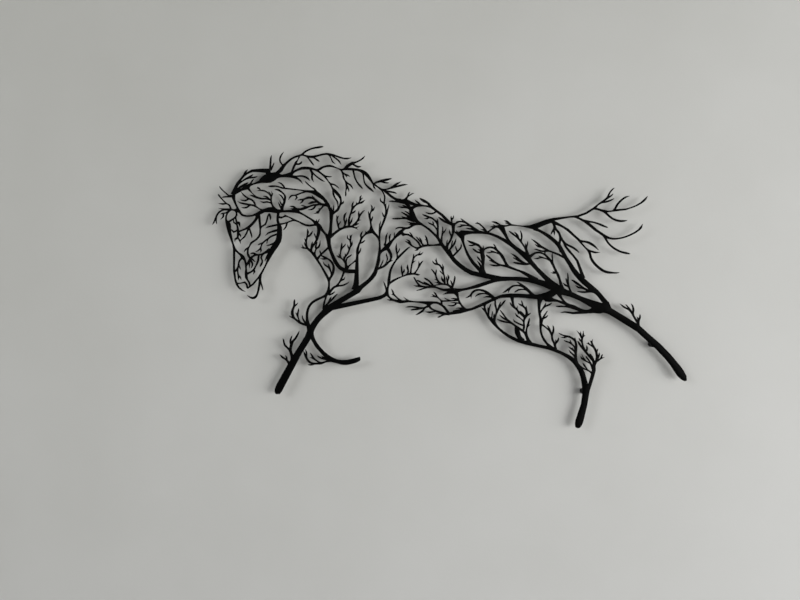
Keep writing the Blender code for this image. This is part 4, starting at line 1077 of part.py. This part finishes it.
def straight_runs(points, tolerance):
    """The indices of the points that a run needs to stay within a tolerance of its shape."""
    kept = {0, len(points) - 1}
    spans = [(0, len(points) - 1)]
    while spans:
        first, last = spans.pop()
        worst, gap = first, tolerance
        chord = points[last] - points[first]
        for index in range(first + 1, last):
            offset = points[index] - points[first]
            share = max(0.0, min(1.0, offset.dot(chord) / chord.length_squared)) if chord.length else 0.0
            distance = (offset - chord * share).length
            if distance > gap:
                worst, gap = index, distance
        if worst != first:
            kept.add(worst)
            spans += [(first, worst), (worst, last)]
    return sorted(kept)


def nearest_join(place, lines, own):
    """The nearest place on another branch, unless this place lies inside one already."""
    best, best_gap = None, REACH
    for index, line in enumerate(lines):
        if index == own:
            continue
        for (start, start_width), (end, end_width) in zip(line, line[1:]):
            if abs(place.x - start.x) > 12 or abs(place.y - start.y) > 12:
                continue
            spot, share = intersect_point_line(place, start, end)
            share = max(0.0, min(1.0, share))
            spot = start + (end - start) * share
            gap = (spot - place).length
            if gap < (start_width + (end_width - start_width) * share) / 2 - 0.25:
                return None
            if gap < best_gap:
                best, best_gap = spot, gap
    return best


def strip(line, pointed):
    """The triangles that cover a branch."""
    sides = []
    for index, (place, width) in enumerate(line):
        behind = (place - line[index - 1][0]).normalized() if index else None
        ahead = (line[index + 1][0] - place).normalized() if index + 1 < len(line) else behind
        behind = behind or ahead
        direction = (behind + ahead).normalized()
        half = width / 2 / max(0.6, direction.dot(ahead))
        across = Vector((-direction.y, direction.x)) * half
        sides.append((place + across, place - across))
    if pointed:
        sides[-1] = (line[-1][0], line[-1][0])
    triangles = []
    for (left, right), (next_left, next_right) in zip(sides, sides[1:]):
        triangles.append((left, right, next_right))
        triangles.append((left, next_right, next_left))
    return triangles


def signed_area(points):
    """Twice the area inside a loop, positive where it runs anticlockwise."""
    return sum(a.x * b.y - b.x * a.y for a, b in zip(points, points[1:] + points[:1]))


def merge(pieces):
    """The union of flat pieces, as its points and the triangles inside it."""
    points, faces = [], []
    for piece in pieces:
        piece = list(piece)
        area = signed_area(piece)
        if abs(area) < SAME_POINT:
            continue
        if area < 0:
            piece.reverse()
        faces.append(list(range(len(points), len(points) + len(piece))))
        points += piece
    result = delaunay_2d_cdt(points, [], faces, 0, SAME_POINT)
    inside = [face for face, owners in zip(result[2], result[5]) if owners]
    return result[0], inside


def rim_edges(faces):
    """The directed edges that only one triangle uses."""
    edges = {(face[k], face[(k + 1) % 3]) for face in faces for k in range(3)}
    return [edge for edge in edges if (edge[1], edge[0]) not in edges]


def loops_of(edges):
    """The closed runs that the rim's edges make."""
    following = dict(edges)
    loops = []
    while following:
        start = min(following)
        loop = [start]
        spot = following.pop(start)
        while spot != start:
            loop.append(spot)
            spot = following.pop(spot)
        loops.append(loop)
    return loops


def sheet_outline():
    """The horse's outline and its holes, as loops of points in squares with y up."""
    branches = [read_branch(points) for region in REGIONS for points in region()]
    lines = [smooth_line(places, widths) for places, widths, pointed in branches]
    pieces = [[Vector((column, -row)) for column, row in outline] for outline in hooves()]
    for index, (line, (places, widths, pointed)) in enumerate(zip(lines, branches)):
        whole = list(line)
        root = nearest_join(line[0][0], lines, index)
        if root:
            whole.insert(0, (root, line[0][1]))
        if not pointed:
            end = nearest_join(line[-1][0], lines, index)
            if end:
                whole.append((end, line[-1][1]))
        if pointed:
            tip, width = whole[-1]
            shoulder = tip.lerp(whole[-2][0], min(0.8, TIP_LENGTH / SQUARE / (tip - whole[-2][0]).length))
            whole.insert(-1, (shoulder, width))
        shape = [Vector((place.x, place.y, width / 2)) for place, width in whole]
        kept = straight_runs(shape, LINE_TOLERANCE)
        if pointed and len(whole) - 2 not in kept and len(whole) > 2:
            kept.insert(-1, len(whole) - 2)
        pieces += strip([whole[k] for k in kept], pointed)
    points, faces = merge(pieces)
    pinched = shared_starts(faces)
    while pinched:
        for spot in pinched:
            pieces.append([points[spot] + Vector(corner) * WEB for corner in WEB_CORNERS])
        points, faces = merge(pieces)
        pinched = shared_starts(faces)
    loops = [[points[spot] for spot in loop] for loop in loops_of(rim_edges(faces))]
    loops = [loop for loop in loops if signed_area(loop) > 0 or signed_area(loop) < -2 * SMALLEST_HOLE]
    return simpler(loops)


def shared_starts(faces):
    """The points where two stretches of the rim touch."""
    seen, shared = set(), set()
    for start, end in rim_edges(faces):
        (shared if start in seen else seen).add(start)
    return sorted(shared)


def cross(a, b, c, d):
    """Whether the stretches from a to b and from c to d cross or touch."""
    def side(p, q, r):
        return (q.x - p.x) * (r.y - p.y) - (q.y - p.y) * (r.x - p.x)
    return side(a, b, c) * side(a, b, d) <= 0 and side(c, d, a) * side(c, d, b) <= 0


def crossing_stretches(stretches):
    """The stretches that cross another one which isn't their neighbour in the same loop."""
    cells = {}
    for index, (loop, first, last, start, end) in enumerate(stretches):
        columns = range(int(min(start.x, end.x) // CELL), int(max(start.x, end.x) // CELL) + 1)
        rows = range(int(min(start.y, end.y) // CELL), int(max(start.y, end.y) // CELL) + 1)
        for column in columns:
            for row in rows:
                cells.setdefault((column, row), []).append(index)
    crossing = set()
    for members in cells.values():
        for place, one in enumerate(members):
            for other in members[place + 1:]:
                loop, first, last, start, end = stretches[one]
                second_loop, second_first, second_last, second_start, second_end = stretches[other]
                if loop == second_loop and (last == second_first or first == second_last):
                    continue
                if cross(start, end, second_start, second_end):
                    crossing |= {one, other}
    return crossing


def simpler(loops):
    """The loops with only the points that their shape needs, and none crossing another."""
    kept = []
    for loop in loops:
        far = max(range(len(loop)), key=lambda index: (loop[index] - loop[0]).length)
        first = straight_runs(loop[:far + 1], OUTLINE_TOLERANCE)[:-1]
        second = straight_runs(loop[far:] + loop[:1], OUTLINE_TOLERANCE)[:-1]
        kept.append(first + [index + far for index in second])
    while True:
        stretches = []
        for number, (loop, marks) in enumerate(zip(loops, kept)):
            for first, last in zip(marks, marks[1:] + marks[:1]):
                stretches.append((number, first, last, loop[first], loop[last]))
        added = False
        for index in crossing_stretches(stretches):
            number, first, last, start, end = stretches[index]
            between = range(first + 1, last if last > first else len(loops[number]))
            if len(between):
                kept[number] = sorted(set(kept[number]) | {between[len(between) // 2]})
                added = True
        if not added:
            return [[loop[mark] for mark in marks] for loop, marks in zip(loops, kept)]


# The solids
def metal(name, color, roughness):
    """A painted steel material."""
    material = bpy.data.materials.new(name)
    material.use_nodes = True
    shader = material.node_tree.nodes["Principled BSDF"]
    shader.inputs["Base Color"].default_value = color
    shader.inputs["Roughness"].default_value = roughness
    shader.inputs["Metallic"].default_value = 0.0
    return material


def add_sheet(collection, material):
    """The cut sheet, as a filled outline with its thickness."""
    curve = bpy.data.curves.new("horse_sheet", "CURVE")
    curve.dimensions = "2D"
    curve.fill_mode = "BOTH"
    curve.extrude = SHEET_THICKNESS / 2
    for loop in sheet_outline():
        spline = curve.splines.new("POLY")
        spline.points.add(len(loop) - 1)
        for point, place in zip(spline.points, loop):
            point.co = ((place.x - ORIGIN_COLUMN) * SQUARE, (place.y + ORIGIN_ROW) * SQUARE, 0.0, 1.0)
        spline.use_cyclic_u = True
    curve.materials.append(material)
    sheet = bpy.data.objects.new("horse_sheet", curve)
    sheet.rotation_euler = (pi / 2, 0.0, 0.0)
    sheet.location = (0.0, -(SPACER_LENGTH + CLEARANCE + SHEET_THICKNESS / 2), 0.0)
    collection.objects.link(sheet)
    return sheet


def spacer_mesh(material):
    """A round spacer about its own Z axis, its front end up."""
    mesh = bpy.data.meshes.new("spacer")
    form = bmesh.new()
    bmesh.ops.create_cone(form, cap_ends=True, segments=SPACER_SIDES, radius1=SPACER_DIAMETER / 2,
                          radius2=SPACER_DIAMETER / 2, depth=SPACER_LENGTH)
    form.to_mesh(mesh)
    form.free()
    mesh.shade_smooth()
    mesh.set_sharp_from_angle(angle=radians(35))
    mesh.materials.append(material)
    return mesh


def add_spacers(collection, material):
    """The four spacers behind the sheet, each with its back face on the wall."""
    mesh = spacer_mesh(material)
    for name, (column, row) in SPACER_PLACES.items():
        spacer = bpy.data.objects.new(name, mesh)
        spacer.rotation_euler = (pi / 2, 0.0, 0.0)
        spacer.location = ((column - ORIGIN_COLUMN) * SQUARE, -SPACER_LENGTH / 2, (ORIGIN_ROW - row) * SQUARE)
        edge = spacer.modifiers.new("edge", "BEVEL")
        edge.width = SPACER_EDGE
        edge.segments = 1
        edge.limit_method = "ANGLE"
        edge.angle_limit = radians(60)
        collection.objects.link(spacer)


def main():
    """Clear the scene and make the object."""
    for thing in list(bpy.data.objects):
        bpy.data.objects.remove(thing, do_unlink=True)
    collection = bpy.data.collections.new("metal_horse_wall_art")
    bpy.context.scene.collection.children.link(collection)
    add_sheet(collection, metal("powder_coated_steel", STEEL_BLACK, 0.5))
    add_spacers(collection, metal("black_spacer", SPACER_BLACK, 0.45))


main()
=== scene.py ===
"""The looks of the metal horse wall art.

The cut steel sheet with its powder coat and softened edges, its four round spacers, and the pale wall,
floor, lights and camera around it. Metres, Z up, the front towards -Y."""

from math import ceil, pi, radians

import bmesh
import bpy
from mathutils import Matrix, Vector
from mathutils.bvhtree import BVHTree


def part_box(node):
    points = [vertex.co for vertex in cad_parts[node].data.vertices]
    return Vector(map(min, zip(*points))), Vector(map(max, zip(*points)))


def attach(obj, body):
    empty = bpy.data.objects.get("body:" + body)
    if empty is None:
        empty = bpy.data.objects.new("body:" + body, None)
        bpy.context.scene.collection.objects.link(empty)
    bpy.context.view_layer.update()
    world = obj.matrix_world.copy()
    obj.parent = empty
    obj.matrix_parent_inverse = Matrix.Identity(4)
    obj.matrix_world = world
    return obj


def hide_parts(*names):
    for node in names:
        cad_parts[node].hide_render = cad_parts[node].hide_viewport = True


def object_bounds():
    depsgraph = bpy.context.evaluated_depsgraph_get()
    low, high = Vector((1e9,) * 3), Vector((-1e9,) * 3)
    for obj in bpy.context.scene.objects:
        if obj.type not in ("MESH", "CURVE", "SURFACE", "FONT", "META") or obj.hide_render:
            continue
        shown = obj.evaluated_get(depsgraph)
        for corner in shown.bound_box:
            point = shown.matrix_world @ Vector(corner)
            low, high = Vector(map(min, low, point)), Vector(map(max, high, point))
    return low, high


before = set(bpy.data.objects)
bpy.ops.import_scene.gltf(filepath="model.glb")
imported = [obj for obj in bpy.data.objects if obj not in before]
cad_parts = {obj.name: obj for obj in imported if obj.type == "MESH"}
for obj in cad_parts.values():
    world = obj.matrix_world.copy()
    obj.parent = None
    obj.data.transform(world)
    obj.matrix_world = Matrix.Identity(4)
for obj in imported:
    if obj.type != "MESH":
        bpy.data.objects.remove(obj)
size_at_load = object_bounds()

# The cut edge
SAME_PLACE = 0.00001
SPOT_DIGITS = 7
FRONT_NORMAL = -0.9
SHARP_FOLD = radians(30)
CORNER_TURN = radians(50)
TURN_PER_STEP = radians(9)
SHORTEST_STEP = 0.0007
SHORT_BULGE = 0.0007
LONG_BULGE = 0.00095
LONG_BULGE_SHARE = 0.036
EDGE_SOFTENING = 0.00035
THINNEST_SOFTENING = 0.00001
SHARE_OF_WIDTH = 0.22
SHARPEST_MITRE = 0.5
LONG_WAY = 0.05
SOFTER_TRIES = 8

# The spacers
SPACER_SIDES = 96
SPACER_EDGE = 0.0008
SPACER_EDGE_STEPS = 3
SPACER_FOLD = radians(35)

# The picture: its size and the horse's edges in it, in columns and rows
PICTURE_COLUMNS = 800
PICTURE_ROWS = 600
LEFT_COLUMN = 212.0
RIGHT_COLUMN = 687.0
TOP_ROW = 145.9

# The camera, worked out from the horse's length
PIXEL = (size_at_load[1].x - size_at_load[0].x) / (RIGHT_COLUMN - LEFT_COLUMN)
PICTURE_WIDTH = PICTURE_COLUMNS * PIXEL
PICTURE_MIDDLE = Vector((size_at_load[0].x + (PICTURE_COLUMNS / 2 - LEFT_COLUMN) * PIXEL, 0.0,
                         size_at_load[1].z - (PICTURE_ROWS / 2 - TOP_ROW) * PIXEL))
CAMERA_DISTANCE = 1.4
SENSOR = 36.0

# The room
WALL_GAP = 0.0004
WALL_SIZE = 9.0
FLOOR_DROP = 1.35
FLOOR_SIZE = 14.0

# The wall's painted light and shade: its tone gets paler downwards and, by the slant's share, to the right
WALL_PAINTED_LIGHT_SLANT = 0.6
WALL_PAINTED_SHADE_END = -0.75
WALL_PAINTED_LIGHT_END = 1.65
WALL_CLOUDS = 0.15


class Signal:
    """One output in a material, so that shader maths reads as plain sums."""

    def __init__(self, paint, socket):
        self.paint = paint
        self.socket = socket

    def sum_with(self, operation, first, second):
        return self.paint.node("ShaderNodeMath", "Value", {"operation": operation}, {0: first, 1: second})

    def __add__(self, other):
        return self.sum_with("ADD", self, other)

    def __radd__(self, other):
        return self.sum_with("ADD", other, self)

    def __sub__(self, other):
        return self.sum_with("SUBTRACT", self, other)

    def __rsub__(self, other):
        return self.sum_with("SUBTRACT", other, self)

    def __mul__(self, other):
        return self.sum_with("MULTIPLY", self, other)

    def __rmul__(self, other):
        return self.sum_with("MULTIPLY", other, self)


class Paint:
    """A material on the Principled shader, with the one way in which its nodes are made."""

    def __init__(self, name, plain):
        self.material = bpy.data.materials.new(name)
        self.material.use_nodes = True
        self.tree = self.material.node_tree
        self.shader = self.tree.nodes["Principled BSDF"]
        for label, value in plain.items():
            self.shader.inputs[label].default_value = value

    def node(self, kind, output, settings, values):
        node = self.tree.nodes.new(kind)
        for label, value in settings.items():
            setattr(node, label, value)
        for label, value in values.items():
            self.feed(node.inputs[label], value)
        return Signal(self, node.outputs[output])

    def feed(self, socket, value):
        if isinstance(value, Signal):
            self.tree.links.new(value.socket, socket)
        else:
            socket.default_value = value

    def set(self, label, value):
        self.feed(self.shader.inputs[label], value)

    def place(self):
        return self.node("ShaderNodeTexCoord", "Object", {}, {})

    def along(self, axis):
        """One coordinate of the place on the piece, in metres."""
        return self.node("ShaderNodeSeparateXYZ", axis, {}, {"Vector": self.place()})

    def grain(self, scale, detail=2.0, roughness=0.5):
        """A soft random pattern about 0.5, with features about 1 / scale metres wide."""
        values = {"Vector": self.place(), "Scale": scale, "Detail": detail, "Roughness": roughness}
        return self.node("ShaderNodeTexNoise", "Fac", {}, values)

    def cut_lines(self, scale):
        """A random pattern across the thickness, the same from the front to the back."""
        values = {0: self.place(), 1: (1, 0, 1)}
        flat = self.node("ShaderNodeVectorMath", "Vector", {"operation": "MULTIPLY"}, values)
        return self.node("ShaderNodeTexNoise", "Fac", {}, {"Vector": flat, "Scale": scale, "Detail": 1.0})

    def edge_share(self):
        """1 on the cut edge and 0 on the front and the back."""
        normal = self.node("ShaderNodeNewGeometry", "Normal", {}, {})
        across = self.node("ShaderNodeSeparateXYZ", "Y", {}, {"Vector": normal})
        return 1.0 - across * across

    def spread(self, signal, low, high):
        """The signal between two levels, stretched to run from 0 to 1."""
        values = {"Value": signal, "From Min": low, "From Max": high}
        return self.node("ShaderNodeMapRange", "Result", {"clamp": True}, values)

    def blend(self, share, first, second):
        return self.node("ShaderNodeMix", 2, {"data_type": "RGBA"}, {0: share, 6: first, 7: second})

    def relief(self, height, depth, strength):
        values = {"Height": height, "Distance": depth, "Strength": strength}
        return self.node("ShaderNodeBump", "Normal", {}, values)


# Finishes
def powder_coat():
    """Matt black powder coat: a fine pebbled skin, with the lines of the cutting on its edge."""
    paint = Paint("powder_coat", {"Metallic": 0.0, "IOR": 1.5, "Specular IOR Level": 0.035})
    cloudy = paint.grain(9.0, 3.0)
    pebbles = paint.grain(420.0, 2.0, 0.55)
    grit = paint.grain(1600.0, 1.0)
    dark, light = (0.0007, 0.0008, 0.0008, 1.0), (0.0018, 0.0019, 0.0018, 1.0)
    tone = paint.spread(cloudy * 0.6 + grit * 0.4, 0.35, 0.65)
    paint.set("Base Color", paint.blend(tone, dark, light))
    paint.set("Roughness", 0.46 + 0.16 * paint.spread(pebbles, 0.3, 0.7))
    height = pebbles * 0.75 + grit * 0.25 + paint.cut_lines(1900.0) * paint.edge_share() * 0.8
    paint.set("Normal", paint.relief(height, 0.0002, 0.35))
    return paint.material


def spacer_black():
    """Satin black moulded plastic, a little cloudy."""
    paint = Paint("spacer_black", {"Metallic": 0.0, "IOR": 1.46, "Specular IOR Level": 0.08})
    cloudy = paint.grain(140.0, 2.0)
    grit = paint.grain(2400.0, 1.0)
    tone = paint.spread(cloudy, 0.35, 0.65)
    paint.set("Base Color", paint.blend(tone, (0.0010, 0.0010, 0.0011, 1.0), (0.0024, 0.0024, 0.0025, 1.0)))
    paint.set("Roughness", 0.40 + 0.14 * paint.spread(cloudy, 0.3, 0.7))
    paint.set("Normal", paint.relief(grit, 0.00008, 0.3))
    return paint.material


def wall_paint():
    """Pale matt wall paint with painted shade, darker to the upper left, and clear from behind to show the
    horse's back.
    """
    paint = Paint("wall_paint", {"Roughness": 0.62, "Specular IOR Level": 0.25})
    cloudy = paint.grain(3.2, 3.0)
    roller = paint.grain(170.0, 3.0, 0.6)
    # painted light and shade: the wall's colour grows paler downwards and to the right, darker to the upper
    # left
    painted_light_share = paint.spread(paint.along("X") * WALL_PAINTED_LIGHT_SLANT - paint.along("Z"), WALL_PAINTED_SHADE_END, WALL_PAINTED_LIGHT_END)
    tone = painted_light_share * (1 - WALL_CLOUDS) + paint.spread(cloudy, 0.3, 0.7) * WALL_CLOUDS
    # painted shade and light: the dark and pale ends of the wall's colour, set by the painted tone above
    paint.set("Base Color", paint.blend(tone, (0.487, 0.487, 0.460, 1.0), (0.680, 0.680, 0.672, 1.0)))
    paint.set("Normal", paint.relief(roller, 0.0004, 0.35))
    behind = paint.node("ShaderNodeNewGeometry", "Backfacing", {}, {})
    clear = paint.node("ShaderNodeBsdfTransparent", "BSDF", {}, {})
    front = Signal(paint, paint.shader.outputs["BSDF"])
    shown = paint.node("ShaderNodeMixShader", "Shader", {}, {0: behind, 1: front, 2: clear})
    paint.feed(paint.tree.nodes["Material Output"].inputs["Surface"], shown)
    return paint.material


def floor_paint():
    """A plain pale floor."""
    paint = Paint("floor_paint", {"Roughness": 0.6, "Specular IOR Level": 0.3})
    tone = paint.spread(paint.grain(2.0, 3.0), 0.3, 0.7)
    paint.set("Base Color", paint.blend(tone, (0.56, 0.56, 0.54, 1.0), (0.60, 0.60, 0.58, 1.0)))
    return paint.material


# The cut sheet
def front_rim(node):
    """The outline of the sheet's front face and its holes, as a flat wire."""
    wire = bmesh.new()
    wire.from_mesh(node.data)
    wire.transform(node.matrix_world)
    bmesh.ops.remove_doubles(wire, verts=wire.verts, dist=SAME_PLACE)
    wire.normal_update()
    rest = [face for face in wire.faces if face.normal.y > FRONT_NORMAL]
    bmesh.ops.delete(wire, geom=rest, context="FACES")
    inner = [edge for edge in wire.edges if not edge.is_boundary]
    bmesh.ops.delete(wire, geom=list(wire.faces), context="FACES_ONLY")
    bmesh.ops.delete(wire, geom=inner, context="EDGES")
    return wire


def direction_at(corner, before, after):
    """The unit direction of a smooth line through three places, or None where it turns a sharp corner."""
    first, second = corner - before, after - corner
    if first.angle(second) > CORNER_TURN:
        return None
    near, far = first.length, second.length
    return (first.normalized() * far + second.normalized() * near).normalized()


def held_to(direction, chord):
    """A direction at the end of a chord, turned back where the line would bulge too far from the chord.

    The bulge is at most 4 / 27 of the direction's sideways share of the chord."""
    along = chord.normalized()
    if direction is None:
        return along
    sideways = direction - along * direction.dot(along)
    bulge = max(SHORT_BULGE, min(LONG_BULGE, LONG_BULGE_SHARE * chord.length))
    most = bulge * 27 / 4 / chord.length
    if sideways.length > most:
        sideways = sideways.normalized() * min(most, 1.0)
    return (along + sideways).normalized()


def smooth_rim(wire, low, high):
    """Make the wire's gentle turns round, with its corners kept and all of it inside the sheet's box."""
    plans = []
    for edge in wire.edges:
        start, end = edge.verts
        before = next(link for link in start.link_edges if link != edge).other_vert(start)
        after = next(link for link in end.link_edges if link != edge).other_vert(end)
        chord = end.co - start.co
        leaving = held_to(direction_at(start.co, before.co, end.co), chord)
        reaching = held_to(direction_at(end.co, start.co, after.co), chord)
        turn = leaving.angle(chord) + reaching.angle(chord)
        steps = min(ceil(turn / TURN_PER_STEP), int(chord.length / SHORTEST_STEP))
        if steps > 1:
            plans.append((edge, start, end, leaving * chord.length, reaching * chord.length, steps))
    places = {}
    for edge, start, end, leaving, reaching, steps in plans:
        anchor = start
        for step in range(1, steps):
            t = step / steps
            anchor = bmesh.utils.edge_split(edge, anchor, 1 / (steps - step + 1))[1]
            edge = next(link for link in anchor.link_edges if end in link.verts)
            place = start.co * (2 * t ** 3 - 3 * t ** 2 + 1) + end.co * (3 * t ** 2 - 2 * t ** 3)
            places[anchor] = place + leaving * (t ** 3 - 2 * t ** 2 + t) + reaching * (t ** 3 - t ** 2)
    for vert, place in places.items():
        vert.co = (max(low.x, min(high.x, place.x)), place.y, max(low.z, min(high.z, place.z)))


def across_metal(walls, spot, along, inward, depth):
    """How far the metal reaches inwards from just beside a place on the rim."""
    start = spot + (along + inward) * SAME_PLACE + Vector((0.0, depth / 2, 0.0))
    distance = walls.ray_cast(start, inward, LONG_WAY)[3]
    return LONG_WAY if distance is None else distance


def edge_plan(form, walls, depth):
    """For each place on the rim of the front face, the way in to the metal and how much of the edge goes."""
    plan = {}
    for vert in form.verts:
        rims = [edge for edge in vert.link_edges if edge.is_boundary]
        ways = []
        width = LONG_WAY
        for edge in rims:
            along = (edge.other_vert(vert).co - vert.co).normalized()
            inward = along.cross(Vector((0.0, 1.0, 0.0)))
            face = edge.link_faces[0]
            if (face.calc_center_median() - vert.co).dot(inward) < 0:
                inward.negate()
            ways.append(inward)
            width = min(width, across_metal(walls, vert.co, along, inward, depth))
        amount = max(THINNEST_SOFTENING, min(EDGE_SOFTENING, SHARE_OF_WIDTH * width))
        way = (ways[0] + ways[1]) / max(SHARPEST_MITRE, 1 + ways[0].dot(ways[1]))
        plan[spot_of(vert)] = (way, amount)
    return plan


def spot_of(vert):
    """The place of a vert in the sheet's plane, which its twins in the front and the back share."""
    return round(vert.co.x, SPOT_DIGITS), round(vert.co.z, SPOT_DIGITS)


def ease(form, plan):
    """Make the softening smaller where it would fold a face or turn a stretch of the rim round."""
    for attempt in range(SOFTER_TRIES):
        folded = set()
        moved = {vert: vert.co + plan[spot_of(vert)][0] * plan[spot_of(vert)][1] for vert in form.verts}
        for face in form.faces:
            a, b, c = (moved[vert] for vert in face.verts)
            if (b - a).cross(c - a).dot(face.normal) <= 0:
                folded.update(face.verts)
        for edge in form.edges:
            start, end = edge.verts
            if edge.is_boundary and (moved[end] - moved[start]).dot(end.co - start.co) <= 0:
                folded.update(edge.verts)
        for vert in folded:
            way, amount = plan[spot_of(vert)]
            plan[spot_of(vert)] = (way, amount / 2)


def soften(form, flat, plan, towards_middle):
    """A small chamfer round a flat face."""
    inside = set(flat)
    band = bmesh.ops.inset_region(form, faces=flat, use_boundary=True, thickness=0.0, depth=0.0)
    for vert in {vert for face in band["faces"] for vert in face.verts}:
        way, amount = plan[spot_of(vert)]
        if any(face in inside for face in vert.link_faces):
            vert.co += way * amount
        else:
            vert.co.y += towards_middle * amount


def cut_sheet(node, material):
    """The sheet again from its own outline, with smoother curves and softened edges."""
    low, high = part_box(node.name)
    depth = high.y - low.y
    form = front_rim(node)
    smooth_rim(form, low, high)
    bmesh.ops.triangle_fill(form, use_beauty=True, use_dissolve=False, edges=form.edges,
                            normal=(0.0, -1.0, 0.0))
    solid = form.copy()
    thicken(solid, depth)
    walls = BVHTree.FromBMesh(solid)
    solid.free()
    form.normal_update()
    plan = edge_plan(form, walls, depth)
    ease(form, plan)
    front, back = thicken(form, depth)
    soften(form, front, plan, 1.0)
    soften(form, back, plan, -1.0)
    bmesh.ops.triangulate(form, faces=form.faces)
    bmesh.ops.recalc_face_normals(form, faces=form.faces)
    put_in_order(form)
    return finished(form, "horse_cut_sheet", material, SHARP_FOLD)


def put_in_order(form):
    """Number the form's parts by their places, as an extrusion leaves them in another order each run."""
    def corners(part):
        return sorted(vert.index for vert in part.verts)

    keys = ((form.verts, lambda vert: tuple(vert.co)), (form.edges, corners), (form.faces, corners))
    for parts, key in keys:
        for rank, part in enumerate(sorted(parts, key=key)):
            part.index = rank
        parts.sort()


def thicken(form, depth):
    """The flat front face given its thickness. Returns the faces of the front and of the back."""
    front = list(form.faces)
    made = bmesh.ops.extrude_face_region(form, geom=front, use_keep_orig=True)["geom"]
    for vert in made:
        if isinstance(vert, bmesh.types.BMVert):
            vert.co.y += depth
    back = [face for face in made if isinstance(face, bmesh.types.BMFace)]
    return front, back


def finished(form, name, material, sharp):
    """The object of a bmesh, smooth between its sharp edges."""
    mesh = bpy.data.meshes.new(name)
    form.to_mesh(mesh)
    form.free()
    mesh.materials.append(material)
    mesh.shade_smooth()
    mesh.set_sharp_from_angle(angle=sharp)
    thing = bpy.data.objects.new(name, mesh)
    bpy.context.scene.collection.objects.link(thing)
    return thing


def spacer(node, material):
    """A round spacer with its ends softened, in the place of the plain one."""
    low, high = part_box(node.name)
    middle = (low + high) / 2
    form = bmesh.new()
    bmesh.ops.create_cone(form, cap_ends=True, segments=SPACER_SIDES, radius1=(high.z - low.z) / 2,
                          radius2=(high.z - low.z) / 2, depth=high.y - low.y - SAME_PLACE)
    ends = [edge for edge in form.edges if abs(edge.verts[0].co.z - edge.verts[1].co.z) < SAME_PLACE]
    bmesh.ops.bevel(form, geom=ends, offset=SPACER_EDGE, affect="EDGES", segments=SPACER_EDGE_STEPS,
                    profile=0.5, material=-1)
    form.transform(Matrix.Translation(middle) @ Matrix.Rotation(pi / 2, 4, "X"))
    return finished(form, node.name + "_round", material, SPACER_FOLD)


# The room
def flat_board(name, size, placement, material):
    """A square board that faces its own Z axis."""
    form = bmesh.new()
    bmesh.ops.create_grid(form, x_segments=1, y_segments=1, size=size / 2)
    form.transform(placement)
    board = finished(form, name, material, SHARP_FOLD)
    return board


def lamp(name, place, width, height, watts, color):
    """A soft light like a window, turned to the middle of the picture."""
    light = bpy.data.lights.new(name, "AREA")
    light.shape = "RECTANGLE"
    light.size = width
    light.size_y = height
    light.energy = watts
    light.color = color
    holder = bpy.data.objects.new(name, light)
    holder.location = place
    holder.rotation_euler = (PICTURE_MIDDLE - Vector(place)).to_track_quat("-Z", "Y").to_euler()
    bpy.context.scene.collection.objects.link(holder)


def room():
    """The wall behind the horse, the floor under it, the lights and the camera."""
    upright = Matrix.Translation((PICTURE_MIDDLE.x, WALL_GAP, 0.0)) @ Matrix.Rotation(pi / 2, 4, "X")
    wall = flat_board("wall", WALL_SIZE, upright, wall_paint())
    wall.visible_diffuse = False
    level = Matrix.Translation((PICTURE_MIDDLE.x, 0.0, -FLOOR_DROP))
    flat_board("floor", FLOOR_SIZE, level, floor_paint())
    lamp("window", (6.2, -4.6, 0.15), 6.0, 2.9, 265.0, (1.0, 0.995, 0.965))
    lamp("low_window", (3.2, -3.9, -0.6), 2.8, 1.4, 66.0, (1.0, 1.0, 1.0))
    lamp("second_window", (-2.75, -2.95, 0.9), 1.8, 1.6, 40.0, (0.98, 0.99, 1.0))
    world = bpy.data.worlds.new("room_air")
    world.use_nodes = True
    world.node_tree.nodes["Background"].inputs["Color"].default_value = (0.80, 0.81, 0.80, 1.0)
    world.node_tree.nodes["Background"].inputs["Strength"].default_value = 0.18
    bpy.context.scene.world = world
    bpy.context.scene.view_settings.view_transform = "Standard"
    view = bpy.data.cameras.new("camera")
    view.sensor_width = SENSOR
    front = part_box("horse_sheet")[0].y
    view.lens = SENSOR * CAMERA_DISTANCE / PICTURE_WIDTH
    holder = bpy.data.objects.new("camera", view)
    holder.location = (PICTURE_MIDDLE.x, front - CAMERA_DISTANCE, PICTURE_MIDDLE.z)
    holder.rotation_euler = (pi / 2, 0.0, 0.0)
    bpy.context.scene.collection.objects.link(holder)
    bpy.context.scene.camera = holder


def dress():
    """The horse's own pieces, each in the place of its solid."""
    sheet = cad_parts["horse_sheet"]
    coated = cut_sheet(sheet, powder_coat())
    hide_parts("horse_sheet")
    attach(coated, "root")
    plastic = spacer_black()
    for name in sorted(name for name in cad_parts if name.startswith("spacer_")):
        round_one = spacer(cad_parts[name], plastic)
        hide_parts(name)
        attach(round_one, "root")


dress()
room()
